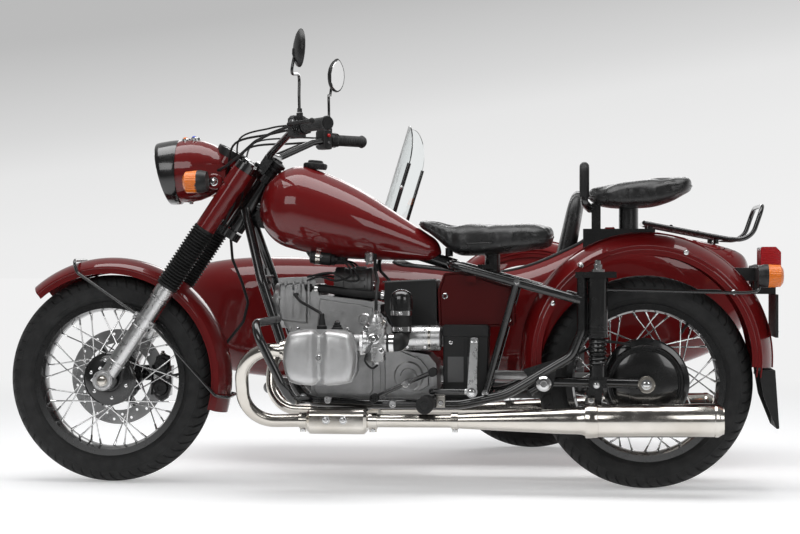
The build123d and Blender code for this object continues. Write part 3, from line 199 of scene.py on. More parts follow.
MOULDED = (None, (80.0, 0.06, 0.08), [(1.0, 1100.0, 2.0)], dict(Specular_IOR_Level=0.45))


def finish(family, name, dark, light, rough, depth, **sockets):
    patches, wear, grain, common = family
    graph = new_material(name, light, rough, **common, **sockets)
    if patches:
        graph.shade(Base_Color=graph.between(dark, light, *patches))
    if wear:
        scale, less, more = wear
        graph.shade(Roughness=graph.between(grey(rough - less), grey(rough + more), scale, 5.0))
    graph.bump([(share, graph.noise(*row)) for share, *row in grain], depth)
    return graph.owner


def casting(name, dark, light, rough, depth):
    return finish(CASTING, name, grey(dark), grey(light), rough, depth)


def polished(name, dark, light, rough):
    return finish(POLISHED, name, dark, light, rough, 0.000012)


def rubber(name, level, rough, depth):
    return finish(ELASTIC, name, grey(level * 0.7), grey(level * 1.4), rough, depth)


def plastic(name, colour, rough):
    return finish(MOULDED, name, colour, colour, rough, 0.00005)


def enamel(name, level, rough, coat):
    return finish(ENAMEL, name, grey(level), grey(level), rough, 0.00004, Coat_Weight=coat)


def leather(name):
    graph = new_material(name, grey(0.012), 0.42, Specular_IOR_Level=0.5)
    cells = graph.node("TexVoronoi", feature="DISTANCE_TO_EDGE", Scale=520.0, Vector=graph.place())
    cracks = graph.ramp(cells.outputs["Distance"], [(0.0, grey(0.0)), (0.09, grey(1.0))])
    graph.shade(Base_Color=graph.between(grey(0.008), grey(0.020), 26.0, 6.0))
    graph.shade(Roughness=graph.between(grey(0.20), grey(0.38), 22.0, 5.0))
    folds = graph.noise(24.0, 5.0, 0.6, (1.0, 2.2, 1.0))
    graph.bump([(0.25, cracks), (3.0, folds)], 0.0003)
    return graph.owner


def lens(name, colour, ridges=60.0, rough=0.25, clear=0.0):
    coat = dict(Coat_Weight=0.4, Coat_Roughness=0.04)
    graph = new_material(name, colour, rough, Transmission_Weight=clear, IOR=1.49, **coat)
    wave = graph.node("TexWave", bands_direction="Z", Scale=ridges, Vector=graph.place())
    graph.bump([(1.0, wave.outputs["Fac"])], 0.0008)
    return graph.owner


def clear_sheet(name, tint):
    graph = new_material(name, tint, 0.02, Transmission_Weight=1.0, IOR=1.46)
    graph.shade(Roughness=graph.between(grey(0.0), grey(0.03), 3.0, 5.0))
    return graph.owner


RED = finish(PAINT, "red_paint", (0.132, 0.0046, 0.0052), (0.170, 0.0062, 0.0068), 0.42, 0.00002)
DARK_RED = finish(PAINT, "dark_red_paint", (0.060, 0.0018, 0.0018), (0.076, 0.0026, 0.0026), 0.42, 0.00002)
BLACK = enamel("black_enamel", 0.008, 0.22, 0.9)
SATIN = enamel("satin_black", 0.014, 0.42, 0.1)
ALLOY = casting("cast_alloy", 0.36, 0.54, 0.44, 0.00018)
COVER = casting("cover_alloy", 0.50, 0.62, 0.46, 0.00012)
BRIGHT = casting("bright_alloy", 0.60, 0.74, 0.3, 0.00005)
DARK_METAL = casting("dark_casting", 0.13, 0.21, 0.5, 0.0001)
STEEL = polished("polished_steel", (0.60, 0.56, 0.50), (0.78, 0.75, 0.70), 0.15)
DISC_STEEL = polished("disc_steel", grey(0.30), grey(0.42), 0.3)
CHROME = polished("chrome", grey(0.70), grey(0.82), 0.12)
MIRROR = polished("mirror_silver", grey(0.80), grey(0.86), 0.07)
RUBBER = rubber("black_rubber", 0.012, 0.55, 0.00005)
GRIP = rubber("grip_rubber", 0.040, 0.55, 0.00005)
TYRE = rubber("tyre_rubber", 0.017, 0.66, 0.00009)
LEATHER = leather("black_leather")
PLASTIC = plastic("black_plastic", grey(0.011), 0.42)
SIGNAL = plastic("red_button", (0.5, 0.01, 0.01), 0.4)
LABEL = plastic("bare_label", grey(0.10), 0.5)
PALE = plastic("pale_marks", grey(0.7), 0.5)
AMBER = lens("amber_lens", (0.90, 0.20, 0.004))
TAIL_RED = lens("red_lens", (0.42, 0.006, 0.012))
BLUE = lens("blue_lens", (0.01, 0.05, 0.5))
GLASS = lens("lamp_glass", (0.9, 0.93, 0.93), 34.0, 0.1, 1.0)
CLEAR = clear_sheet("clear_sheet", (0.94, 0.97, 0.97))

FINISH = {
    "paint_red": RED, "paint_dark_red": DARK_RED, "paint_black": BLACK, "cast_aluminium": ALLOY,
    "dark_metal": DARK_METAL, "stainless": STEEL, "rubber_black": RUBBER, "tyre_black": TYRE,
    "plastic_black": PLASTIC, "leather_black": LEATHER, "lens_amber": AMBER, "lens_red": TAIL_RED,
    "screen_clear": CLEAR, "mirror_black": PLASTIC,
}

# CAD pieces keep their shape and take the finishes above

for row in frame["record"]["subparts"]:
    piece = NODES[row["node"]]
    for polygon in piece.data.polygons:
        polygon.use_smooth = True
    piece.modifiers.new("weld", "WELD").merge_threshold = 0.00001
    piece.modifiers.new("edges", "EDGE_SPLIT").split_angle = math.radians(40.0)
    piece.data.materials.clear()
    piece.data.materials.append(FINISH[row["material_slot"]])


def ring_zone(number, inner, outer):
    # The ring between two radii round one of the wheels' centres.
    centre = WHEELS[number][2]
    return lambda x, y, z: inner < math.hypot(x - centre[0], z - centre[2]) < outer


def disc_zone(x, y, z):
    return abs(y + 62.0) < 3.2 and ring_zone(0, 100.0, 160.0)(x, y, z)


def strap_zone(side):
    return lambda x, y, z: 151.0 < side * y < 159.0 and 262.0 < z < 350.0 and x < 200.0


RECOLOURED = [
    # node, finish, choice of faces by their middle
    ("front_wheel", CHROME, ring_zone(0, 85.0, 213.0)),
    ("front_wheel", DISC_STEEL, disc_zone),
    ("rear_wheel", CHROME, ring_zone(1, 135.0, 213.0)),
    ("sidecar_wheel", CHROME, ring_zone(2, 135.0, 213.0)),
    ("fork_sliders", BRIGHT, lambda x, y, z: True),
    ("carburettors", BRIGHT, lambda x, y, z: True),
    ("air_filters", BRIGHT, lambda x, y, z: x > 652.0),
    ("air_filters", PLASTIC, lambda x, y, z: x <= 652.0),
    ("front_indicators", PLASTIC, lambda x, y, z: x < 1374.0),
    ("rear_indicators", PLASTIC, lambda x, y, z: x > -362.0),
    ("tail_bracket", RUBBER, lambda x, y, z: z < 440.0),
    ("tail_lamp", CHROME, lambda x, y, z: x > -352.0),
    ("sidecar_lamp", BLACK, lambda x, y, z: z < 800.0),
    ("foot_controls", BRIGHT, lambda x, y, z: x < 545.0 and y > 165.0),
    ("exhaust_left", BLACK, strap_zone(1)),
    ("exhaust_right", BLACK, strap_zone(-1)),
    ("engine_case", DARK_METAL, lambda x, y, z: abs(y) < 40.0 and z > 566.0 and x < 1000.0),
]
for node, material, chosen in RECOLOURED:
    mesh = NODES[node].data
    mesh.materials.append(material)
    for polygon in mesh.polygons:
        if chosen(*design(polygon.center)):
            polygon.material_index = len(mesh.materials) - 1
for node in ("sidecar_frame", "sidecar_suspension"):
    NODES[node].data.materials[0] = SATIN


# Shapes built from rings

def cubic(p, q, r, s, t):
    # A smooth value between q and r.
    square = 2 * p - 5 * q + 4 * r - s
    cube = 3 * q - p - 3 * r + s
    return 0.5 * (2 * q + (r - p) * t + square * t ** 2 + cube * t ** 3)


def smooth(line, steps):
    # Rows of any width, made smooth from the second row to the one before the last.
    made = []
    for rows in zip(line, line[1:], line[2:], line[3:]):
        for step in range(steps):
            made.append([cubic(*values, step / steps) for values in zip(*rows)])
    made.append(list(line[-2]))
    return made


def smooth_rows(rows, steps):
    return smooth([rows[0], *rows, rows[-1]], steps)


def smooth_path(points, steps):
    spots = [Vector(point) for point in points]
    if len(spots) == 2:
        return spots
    line = [spots[0] * 2 - spots[1], *spots, spots[-1] * 2 - spots[-2]]
    return [Vector(row) for row in smooth(line, steps)]


def band(low, high, inner, outer, ease=0.0):
    return [(low, inner), (low + ease, outer), (high - ease, outer), (high, inner)]


def box_line(x, z, half_x, half_z):
    return [(x + a * half_x, z + b * half_z) for a, b in ((-1, -1), (1, -1), (1, 1), (-1, 1))]


def coil_line(centre, radius, steps, rise):
    # A helix of ten steps a turn.
    line = [polar(centre, radius, 2 * math.pi * step / 10, XY) for step in range(steps + 1)]
    return [spot + Vector((0, 0, step * rise)) for step, spot in enumerate(line)]


class Shape:
    # One piece, gathered from skins over rings of points in design millimetres.
    # With both sides, each part is made again across the machine's middle plane.

    def __init__(self, name, sides=(1,)):
        self.name = name
        self.sides = sides
        self.mesh = bmesh.new()
        self.materials = []

    def number(self, material):
        if material not in self.materials:
            self.materials.append(material)
        return self.materials.index(material)

    def wrap(self, rings, material, cap=True, loop=False):
        made = [[self.mesh.verts.new(at(*point)) for point in ring] for ring in rings]
        pairs = list(zip(made, made[1:]))
        if loop:
            pairs.append((made[-1], made[0]))
        faces = []
        for low, high in pairs:
            count = max(len(low), len(high))
            for k in range(count if count > 1 else 0):
                n = (k + 1) % count
                if len(low) == 1:
                    corners = (low[0], high[n], high[k])
                elif len(high) == 1:
                    corners = (low[k], low[n], high[0])
                else:
                    corners = (low[k], low[n], high[n], high[k])
                faces.append(self.mesh.faces.new(corners))
        if cap and not loop:
            faces += [self.mesh.faces.new(ring) for ring in (made[0], made[-1]) if len(ring) > 2]
        for face in faces:
            face.material_index = self.number(material)

    def skin(self, rings, material, cap=True, loop=False):
        for side in self.sides:
            self.wrap([[flip(point, side) for point in ring] for ring in rings], material, cap, loop)

    def sheet(self, rows, material):
        # An open sheet through rows of equal length.
        for side in self.sides:
            made = [[self.mesh.verts.new(at(*flip(point, side))) for point in row] for row in rows]
            for low, high in zip(made, made[1:]):
                for corners in zip(low, low[1:], high[1:], high):
                    self.mesh.faces.new(corners).material_index = self.number(material)

    def lathe(self, base, axis, profile, material, count=28):
        # The profile lists (distance along the axis, radius) pairs.
        turns = [2 * math.pi * k / count for k in range(count)]
        for side in self.sides:
            along = flip(axis, side).normalized()
            across = along.orthogonal().normalized()
            up = along.cross(across)
            rings = []
            for distance, radius in profile:
                middle = flip(base, side) + along * distance
                ring = [middle + (across * math.cos(a) + up * math.sin(a)) * radius for a in turns]
                rings.append(ring if radius else [middle])
            self.wrap(rings, material)

    def tube(self, points, radius, material, count=10, steps=8):
        turns = [2 * math.pi * k / count for k in range(count)]
        for side in self.sides:
            path = smooth_path([flip(point, side) for point in points], steps)
            across = (path[1] - path[0]).orthogonal()
            rings = []
            for k, spot in enumerate(path):
                forward = (path[min(k + 1, len(path) - 1)] - path[max(k - 1, 0)]).normalized()
                across = (across - forward * across.dot(forward)).normalized()
                up = forward.cross(across)
                rings.append([spot + (across * math.cos(a) + up * math.sin(a)) * radius for a in turns])
            self.wrap(rings, material)

    def plate(self, outline, y_low, y_high, material, bevel=1.5):
        # A plate with eased edges, cut to a side outline of (X, Z) points.
        middle = Vector((sum(p[0] for p in outline), sum(p[1] for p in outline))) / len(outline)
        reach = max((Vector(p) - middle).length for p in outline)
        small = [middle + (Vector(p) - middle) * (1 - bevel / reach) for p in outline]
        edge = math.copysign(bevel, y_high - y_low)
        levels = [(small, y_low), (outline, y_low + edge), (outline, y_high - edge), (small, y_high)]
        self.skin([[(p[0], y, p[1]) for p in line] for line, y in levels], material)

    def bolt(self, base, axis, radius, height, material=None, washer=1.45):
        metal = material or CHROME
        wide = radius * washer
        self.lathe(base, axis, [(-1, wide), (height * 0.2, wide), (height * 0.24, radius)], metal, 20)
        profile = [(height * 0.2, radius), (height * 0.9, radius), (height, radius * 0.82), (height, 0)]
        self.lathe(base, axis, profile, metal, 6)

    def bolt_circle(self, centre, wide, axis, radius, height, material=None, first=0, plane=XZ):
        for number in range(6):
            place = polar(centre, wide, math.radians(60 * number + first), plane)
            self.bolt(place, axis, radius, height, material)

    def screw(self, base, axis, radius, height):
        # A round head with a socket.
        profile = [(-1, radius), (height * 0.85, radius), (height, radius * 0.85), (height, radius * 0.5)]
        self.lathe(base, axis, profile + [(height * 0.4, radius * 0.45), (height * 0.4, 0)], CHROME, 20)

    def done(self, body, replaces=(), sharp=35.0):
        bmesh.ops.recalc_face_normals(self.mesh, faces=self.mesh.faces)
        mesh = bpy.data.meshes.new(self.name)
        self.mesh.to_mesh(mesh)
        self.mesh.free()
        for material in self.materials:
            mesh.materials.append(material)
        for polygon in mesh.polygons:
            polygon.use_smooth = True
        mesh.set_sharp_from_angle(angle=math.radians(sharp))
        piece = bpy.data.objects.new(self.name, mesh)
        bpy.context.scene.collection.objects.link(piece)
        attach(piece, body)
        if replaces:
            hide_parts(*replaces)
        return piece


# Tyres with a road tread, spoke nipples and valves

PITCHES = 60
# share of a pitch, and whether the column lies in a slanted groove
COLUMNS = [(0.0, True), (0.13, True), (0.19, False), (0.56, False), (0.94, False)]
GROOVE = 5.0
CROWN = 65.2
SHOULDER = 46.0
TREAD_ROWS = [
    # distance from the middle, depth of the ring groove, share of the slanted groove
    (0, 0, 0), (4, 0, 0), (8.6, 0, 0), (9.3, GROOVE, 0), (12.3, GROOVE, 0), (13, 0, 0), (15, 0, 0),
    (16, 0, 1), (23, 0, 1), (31, 0, 1), (39, 0, 1), (44, 0, 0.9), (47, 0, 0.8),
]
WALL_ROWS = [
    # share of the way from bead to shoulder, raised line, share of the slanted groove
    (0.93, 0, 0.7), (0.86, 0, 0.55), (0.80, 0, 0.35), (0.76, 0, 0), (0.72, 0, 0), (0.71, 0.9, 0),
    (0.67, 0.9, 0), (0.66, 0, 0), (0.5, 0, 0), (0.36, 0, 0), (0.22, 0, 0), (0.20, 1.2, 0), (0.13, 1.2, 0),
    (0.11, 0, 0), (0, 0, 0),
]
# radius and half width at the bead, halfway up the wall and at the shoulder
WALL = [(244.0, 42.0), (280.0, 63.5), (308.0, 47.0)]
SPOKES = 36
RIM_WELL = 218.0
VALVE_TURN = 2.2
NIPPLE = [(-22, 2.6), (-20, 3.3), (-8, 3.3), (-6, 4.4), (2, 4.4)]
VALVE = [(-2, 7), (3, 7), (6, 4.5), (20, 4), (21, 5), (34, 5), (36, 3), (36, 0)]


def tyre_rows():
    # Radius, distance from the middle, slanted depth and slant of every row, from the crown to the bead.
    rows = []
    for half, ring, slant in TREAD_ROWS:
        radius = TYRE_RADIUS - CROWN + math.sqrt(CROWN ** 2 - half ** 2) - ring
        rows.append((radius, half, slant * GROOVE, max(0.0, half - 13.0) / 34.0))
    for t, raised, slant in WALL_ROWS:
        radius, half = [a * (1 - t) ** 2 + 2 * b * t * (1 - t) + c * t ** 2 for a, b, c in zip(*WALL)]
        rows.append((radius, half + raised, slant * GROOVE, 1.0 + (0.93 - t) * 0.9))
    rows.append((229.0, 42.0, 0.0, 1.9))
    return rows


def tyre_ring(centre, radius, y, depth, slant, side):
    shift = slant * 0.75 + (0.5 if side < 0 else 0.0)
    # A groove cuts inward on the tread, and mostly sideways below the shoulder.
    low = (radius - depth, y)
    if abs(y) > SHOULDER:
        low = (radius - depth * 0.4, y - side * depth * 0.8)
    ring = []
    for pitch in range(PITCHES):
        for share, sunk in COLUMNS:
            reach, wide = low if sunk else (radius, y)
            turn = 2 * math.pi * (pitch + share + shift) / PITCHES
            ring.append(polar((centre[0], centre[1] + wide, centre[2]), reach, turn))
    return ring


half_rows = tyre_rows()
both_rows = [(*row, 1) for row in reversed(half_rows)]
both_rows += [(radius, -y, depth, slant, -1) for radius, y, depth, slant in half_rows[1:]]
for body, node, centre, flange, flange_half, spread in WHEELS:
    kit = Shape(body + "_road_tyre")
    kit.skin([tyre_ring(centre, *row) for row in both_rows], TYRE, loop=True)
    kit.done(body, [node], 30.0)
    kit = Shape(body + "_nipples")
    for number in range(SPOKES):
        side = SIDES[number % 2]
        lead = SIDES[number // 2 % 2]
        outer = 2 * math.pi * number / SPOKES
        low = polar((0, side * flange_half, 0), flange, outer + lead * math.radians(spread))
        high = polar((0, side * 7.0, 0), RIM_WELL, outer)
        kit.lathe(Vector(centre) + high, high - low, NIPPLE, CHROME, 8)
    valve = polar((0, 0, 0), RIM_WELL, VALVE_TURN)
    kit.lathe(Vector(centre) + valve, -valve, VALVE, RUBBER, 14)
    kit.done(body)

# Front hub, fork legs, caliper and gaiters

LEG = fork_at(0, LEG_SPREAD, 0)
FORK_AHEAD = (math.cos(RAKE), 0, math.sin(RAKE))
kit = Shape("front_hub_fittings")
kit.bolt_circle((WHEELBASE, 52.5, TYRE_RADIUS), 60, LEFT, 6, 6, first=20)
kit.bolt_circle((WHEELBASE, -64.0, TYRE_RADIUS), 60, RIGHT, 6, 6, first=20)
kit.lathe((WHEELBASE, 50.0, TYRE_RADIUS), LEFT, [(0, 70), (4, 70), (6, 66), (6, 40), (3, 38)], BLACK, 40)
kit.done("front_wheel")

kit = Shape("fork_fittings", SIDES)
cap = [(0, 27), (3, 27), (4.5, 25), (4.5, 19), (3, 18)]
kit.lathe((WHEELBASE, 128.6, TYRE_RADIUS), LEFT, cap, BRIGHT, 32)
kit.bolt((WHEELBASE, 131.0, TYRE_RADIUS), LEFT, 13, 9, STEEL, 1.3)
for lift in (-22, 22):
    kit.screw(fork_at(30, LEG_SPREAD, lift), FORK_AHEAD, 6, 7)
for x, y, z in ((0, 127.0, 44), (26.0, 114.0, 226), (-28.6, 114.0, 226)):
    kit.screw(fork_at(x, y, z), LEFT, 6, 5)
for low, high, wide in ((60, 72, 27.5), (196, 204, 28), (300, 312, 28.5)):
    kit.lathe(LEG, FORK_UP, band(low, high, 25.5, wide, 2), BRIGHT, 36)
kit.lathe(LEG, FORK_UP, [(819.5, 20), (824, 20), (827, 16), (827, 0)], CHROME, 6)
kit.done("steering")

CALIPER = [
    (1506, 396), (1530, 406), (1552, 394), (1560, 352), (1552, 332), (1566, 300), (1556, 264), (1534, 248),
    (1512, 262), (1500, 300), (1504, 352),
]
kit = Shape("caliper_fittings")
kit.plate(CALIPER, -53, -40, BLACK, 6)
for x, z in ((1532, 366), (1536, 294)):
    kit.lathe((x, -41, z), LEFT, [(0, 25), (4, 25), (8, 21), (8, 9), (5, 8), (5, 0)], BLACK, 32)
for x in (1512, 1552):
    kit.screw((x, -41, 330), LEFT, 7, 7)
kit.bolt((1530, -46, 404), UP, 6, 9, STEEL)
kit.done("steering")

RIBS = 20
RIB_FOOT = 363.0
RIB_PITCH = 199.0 / RIBS
# share of a rib, radius
RIB = [(0.0, 30.6), (0.22, 33.2), (0.40, 36.8), (0.60, 36.8), (0.78, 33.2)]
bellows = [(352.4, 28), (352.4, 33.5), (354, 34.5), (361, 34.5), (362, 32)]
bellows += [(RIB_FOOT + (rib + share) * RIB_PITCH, radius) for rib in range(RIBS) for share, radius in RIB]
bellows += [(562.5, 31), (563, 34), (570, 34), (571.5, 32.5), (571.5, 28)]
kit = Shape("fork_bellows", SIDES)
kit.lathe(LEG, FORK_UP, bellows, RUBBER, 40)
kit.done("steering", ["fork_gaiters"], 50.0)

# Headlamp: bezel, eyelid, reflector and fluted glass

ACROSS = Vector(LEFT)
LAMP_FRONT = Vector((1468.0, 0.0, 982.0))
LAMP_BACK = Vector((1296.0, 0.0, 1002.0))
LAMP_AXIS = (LAMP_BACK - LAMP_FRONT).normalized()
LAMP_UP = ACROSS.cross(LAMP_AXIS)
LAMP_STEPS = 64
BEZEL = [
    # radius, distance ahead, slant
    (97.0, -9.5, -9.5), (100.2, -9.0, -9.0), (102.0, -4.0, -6.0), (102.4, 12.0, 0.0), (101.2, 34.0, 8.0),
    (99.8, 43.0, 11.0), (97.5, 45.5, 11.5), (94.0, 45.5, 11.5), (92.0, 40.0, 10.0), (90.5, 20.0, 0.0),
]
BEZEL_TRIM = [(94.2, 44.0, 11.0), (93.8, 46.8, 11.6), (91.6, 46.4, 11.5), (91.0, 40.0, 10.0)]
GLASS_SHARES = (1.0, 0.94, 0.8, 0.6, 0.35, 0.12)


def lamp_ray(turn):
    return LAMP_UP * math.cos(turn) + ACROSS * math.sin(turn)


def lamp_ring(radius, ahead, slant):
    # A ring round the lamp, so far ahead of the shell, and further by the slant at its top.
    turns = [2 * math.pi * number / LAMP_STEPS for number in range(LAMP_STEPS)]
    return [LAMP_FRONT - LAMP_AXIS * (ahead + slant * math.cos(a)) + lamp_ray(a) * radius for a in turns]


kit = Shape("headlamp_front")
kit.skin([lamp_ring(*row) for row in BEZEL], BLACK, False)
kit.skin([lamp_ring(*row) for row in BEZEL_TRIM], CHROME, False)
kit.lathe(LAMP_FRONT, LAMP_AXIS, [(-2, 0), (-2.5, 14), (-6, 38), (-13, 64), (-24, 90)], MIRROR, 48)
kit.lathe(LAMP_FRONT, LAMP_AXIS, [(-3, 7), (-20, 7), (-24, 5), (-26, 0)], CHROME, 16)
outer = [lamp_ring(91.5 * s, 41.0 + 18 * (1 - s * s), 11 * s) for s in GLASS_SHARES]
inner = [lamp_ring(90.0 * s, 38.0 + 18 * (1 - s * s), 11 * s) for s in GLASS_SHARES[::-1]]
tips = [[LAMP_FRONT - LAMP_AXIS * 59.0], [LAMP_FRONT - LAMP_AXIS * 56.0]]
kit.skin(outer + tips + inner, GLASS, loop=True)
kit.done("steering", ["headlamp_rim"])

# Instrument, warning lamps and the lamp's fixings

DIAL = Vector((1292.0, 0.0, 1040.0))
DIAL_UP = Vector((-0.47, 0.0, 0.88)).normalized()
DIAL_TOP = DIAL_UP.cross(ACROSS)
DIAL_MARKS = 24
NEEDLE_TURN = -2.3
JEWELS = [
    # distance along the shell, sideways turn, jewel
    (40, -15, TAIL_RED), (40, 15, AMBER), (68, -14, CLEAR), (68, 14, BLUE),
]
EAR = (1331, 103.0, 948)


def dial_at(height, radius, turn):
    return DIAL + DIAL_UP * height + (ACROSS * math.sin(turn) + DIAL_TOP * math.cos(turn)) * radius


kit = Shape("instrument_and_lamps")
kit.lathe(DIAL, DIAL_UP, [(-16, 50.4), (2, 52), (8, 52), (10, 50), (10, 46), (4, 45)], PLASTIC, 48)
kit.lathe(DIAL, DIAL_UP, [(3, 46), (4.2, 45), (4.2, 0)], SATIN, 48)
for mark in range(DIAL_MARKS + 1):
    turn = math.radians(-135 + 270 * mark / DIAL_MARKS)
    kit.tube([dial_at(4.6, 37 if mark % 4 else 33, turn), dial_at(4.6, 42, turn)], 0.7, PALE, 4)
kit.tube([dial_at(6, 0, NEEDLE_TURN), dial_at(6, 34, NEEDLE_TURN)], 1.0, SIGNAL, 5)
kit.lathe(DIAL, DIAL_UP, [(4, 6), (7.5, 5), (8.5, 0)], PLASTIC, 16)
kit.lathe(DIAL, DIAL_UP, [(8, 46), (9.4, 30), (10.2, 0)], CLEAR, 40)
for distance, turn, jewel in JEWELS:
    ray = lamp_ray(math.radians(turn))
    foot = LAMP_FRONT + LAMP_AXIS * distance + ray * 95.0
    kit.lathe(foot, ray, [(-4, 10), (9, 10), (11, 8.5), (11, 6)], CHROME, 20)
    kit.lathe(foot, ray, [(8, 6.5), (12, 6), (14, 4), (15, 0)], jewel, 16)
kit.bolt(LAMP_FRONT + LAMP_AXIS * 30 - LAMP_UP * 98, -LAMP_UP, 7, 7)
kit.sides = SIDES
kit.bolt((1361, 104.0, 961), LEFT, 8, 7)
kit.lathe(EAR, LEFT, [(-2, 25), (3, 25), (6, 21), (6, 12)], RED, 32)
kit.lathe(EAR, LEFT, [(5, 14), (8, 14), (9, 11.5), (15, 11), (20, 8), (22, 0)], CHROME, 24)
kit.done("steering")

# Handlebar: ribbed grips, switch boxes, lever pivots and clamps

GRIP_RIDGES = 13
SWITCH = [(-32, -22), (30, -22), (34, -14), (34, 18), (26, 26), (-26, 26), (-33, 16), (-33, -14)]
# distance along the grip, share of the outline
SWITCH_ENDS = [(-190, 0.80), (-187, 0.95), (-182, 1.0), (-162, 1.0), (-157, 0.96), (-155, 0.84)]
grip = [(-2, 0), (-2, 20), (3, 21.5), (6, 20), (8, 17.6)]
for ridge in range(GRIP_RIDGES):
    foot = 10 + ridge * 7.8
    grip += [(foot, 17.2), (foot + 1.2, 18.6), (foot + 5.2, 18.6), (foot + 6.4, 17.2)]
grip += [(112, 17.4), (114, 21.5), (119, 21.5), (121, 17)]
clamp = [(124, 12), (124, 23.5), (127, 25), (152, 25), (155, 23.5), (155, 12)]
kit = Shape("grips_and_switches", SIDES)
kit.lathe(GRIP_END, -GRIP_OUT, grip, GRIP, 28)
kit.lathe(GRIP_END, -GRIP_OUT, clamp, PLASTIC, 28)
kit.lathe(grip_at(2, 26, -139), UP, [(-14, 9), (-14, 10), (12, 10), (15, 8), (15, 0)], BLACK, 20)
kit.bolt(grip_at(14, 38, -139), UP, 5, 5)
kit.lathe(grip_at(-11, -20, -172), -GRIP_AHEAD, [(0, 5), (5, 5), (7, 3.5), (7, 0)], LABEL, 16)
for side, shell, button in ((1, GRIP, LABEL), (-1, PLASTIC, SIGNAL)):
    kit.sides = (side,)
    kit.skin([[grip_at(x * share, y * share, z) for x, y in SWITCH] for z, share in SWITCH_ENDS], shell)
    kit.lathe(grip_at(13, -20, -172), -GRIP_AHEAD, [(0, 6), (6, 6), (8, 4), (8, 0)], button, 16)
kit.done("steering")

# Damper knob on the steering stem, and cables led from the bars down behind the lamp

KNOB = [
    (812, 22), (826, 22), (828, 18), (834, 18), (836, 26), (844, 27), (846, 23), (850, 23), (852, 28),
    (862, 28), (865, 22), (868, 13), (873, 11), (874, 0),
]
kit = Shape("stem_fittings")
kit.lathe(fork_at(-60, 0, 0), FORK_UP, KNOB, PLASTIC, 32)
kit.sides = SIDES
for shift, thick in ((0, 3.6), (14, 2.8)):
    start = grip_at(-8 + shift, 18, -188)
    kit.tube([
        start, start + Vector((70, -62, 0.3 * shift - 8)), (1262 - shift, 112, 1066 + shift),
        (1294 - 2 * shift, 70 - shift, 985), (1304 - 2 * shift, 60 - shift, 890),
        fork_at(-18 - shift, 52 - shift, 590),
    ], thick, RUBBER, 8)
kit.done("steering")

# Mirrors

HEAD = [
    # height share, half width share
    (-1.0, 0.0), (-0.96, 0.28), (-0.84, 0.56), (-0.62, 0.80), (-0.34, 0.95), (0.0, 1.0), (0.34, 0.90),
    (0.62, 0.68), (0.84, 0.40), (0.96, 0.16), (1.0, 0.0),
]
HEAD_EDGE = HEAD + [(h, -w) for h, w in HEAD[-2:0:-1]]
# depth, share of the outline
SHELL = [(-5, 0.90), (-6, 0.96), (-4, 1.0), (1, 1.0), (7, 0.93), (13, 0.72), (17, 0.42), (18.5, 0.12)]
# depth, margin inside the outline
SILVER = [(-5.4, 5), (-6.2, 6)]
HEAD_WIDE = 50
HEAD_HIGH = 57
HEAD_PLACE = Vector((1016.0, 378.0, 1326.0))
HEAD_BACK = Vector((0.93, 0.36, 0.05)).normalized()
LEAN = Vector((-0.06, 0, 1))
HEAD_UP = (LEAN - HEAD_BACK * LEAN.dot(HEAD_BACK)).normalized()
HEAD_ACROSS = HEAD_UP.cross(HEAD_BACK)


def head_ring(depth, wide, high):
    middle = HEAD_PLACE + HEAD_BACK * depth
    return [middle + HEAD_ACROSS * (w * wide) + HEAD_UP * (h * high) for h, w in HEAD_EDGE]


foot = grip_at(29.0, 12, -139)
neck = HEAD_PLACE + HEAD_BACK * 14 - HEAD_UP * 14
bend = neck - HEAD_UP * 60 + HEAD_BACK * 6
kit = Shape("mirror_heads", SIDES)
kit.skin([head_ring(depth, HEAD_WIDE * share, HEAD_HIGH * share) for depth, share in SHELL], PLASTIC)
kit.skin([head_ring(depth, HEAD_WIDE - margin, HEAD_HIGH - margin) for depth, margin in SILVER], MIRROR)
kit.tube([foot, foot + Vector((1, 2, 60)), foot + Vector((2, 4, 120)), bend, neck], 4.6, BLACK, 12)
kit.lathe(foot, UP, [(-4, 11), (10, 11), (12, 8.5), (24, 8), (25, 5)], BLACK, 6)
kit.lathe(neck, -HEAD_UP, [(-10, 9), (6, 9), (14, 6), (14, 0)], PLASTIC, 16)
kit.done("steering", ["mirrors"])

# Valve covers: two pillows with a valley between them

COVER_WIDE = 108.0
COVER_HIGH = 82.0
COVER_DEEP = 50.0
COVER_LIFT = 8.0
GRID_REACH = 0.995
GRID_S = 56
GRID_T = 44
# height above the base, growth of the outline
FLANGE = [(8.4, 1.0), (8.0, 1.025), (1.0, 1.025), (0.0, 1.015)]


def cover_point(s, t):
    # s runs along the machine and t up, both from -1 to 1.
    notch = math.exp(-(s / 0.13) ** 2) * abs(t) ** 4
    x = CYL_X + COVER_WIDE * s * math.sqrt(1 - 0.30 * t * t)
    z = CYL_Z + COVER_HIGH * t * math.sqrt(1 - 0.24 * s * s) * (1 - 0.20 * notch)
    edge = (1 - abs(s) ** 9) * (1 - abs(t) ** 7)
    valley = 1 - 0.46 * math.exp(-(s / 0.15) ** 2) - 0.12 * math.exp(-(s / 0.4) ** 2) * abs(t)
    rise = COVER_DEEP * edge ** 0.32 * valley * (1 - 0.10 * t * t - 0.05 * s * s)
    return x, COVER_BASE + COVER_LIFT + rise, z


def grid_steps(count):
    return [GRID_REACH * (2 * step / count - 1) for step in range(count + 1)]


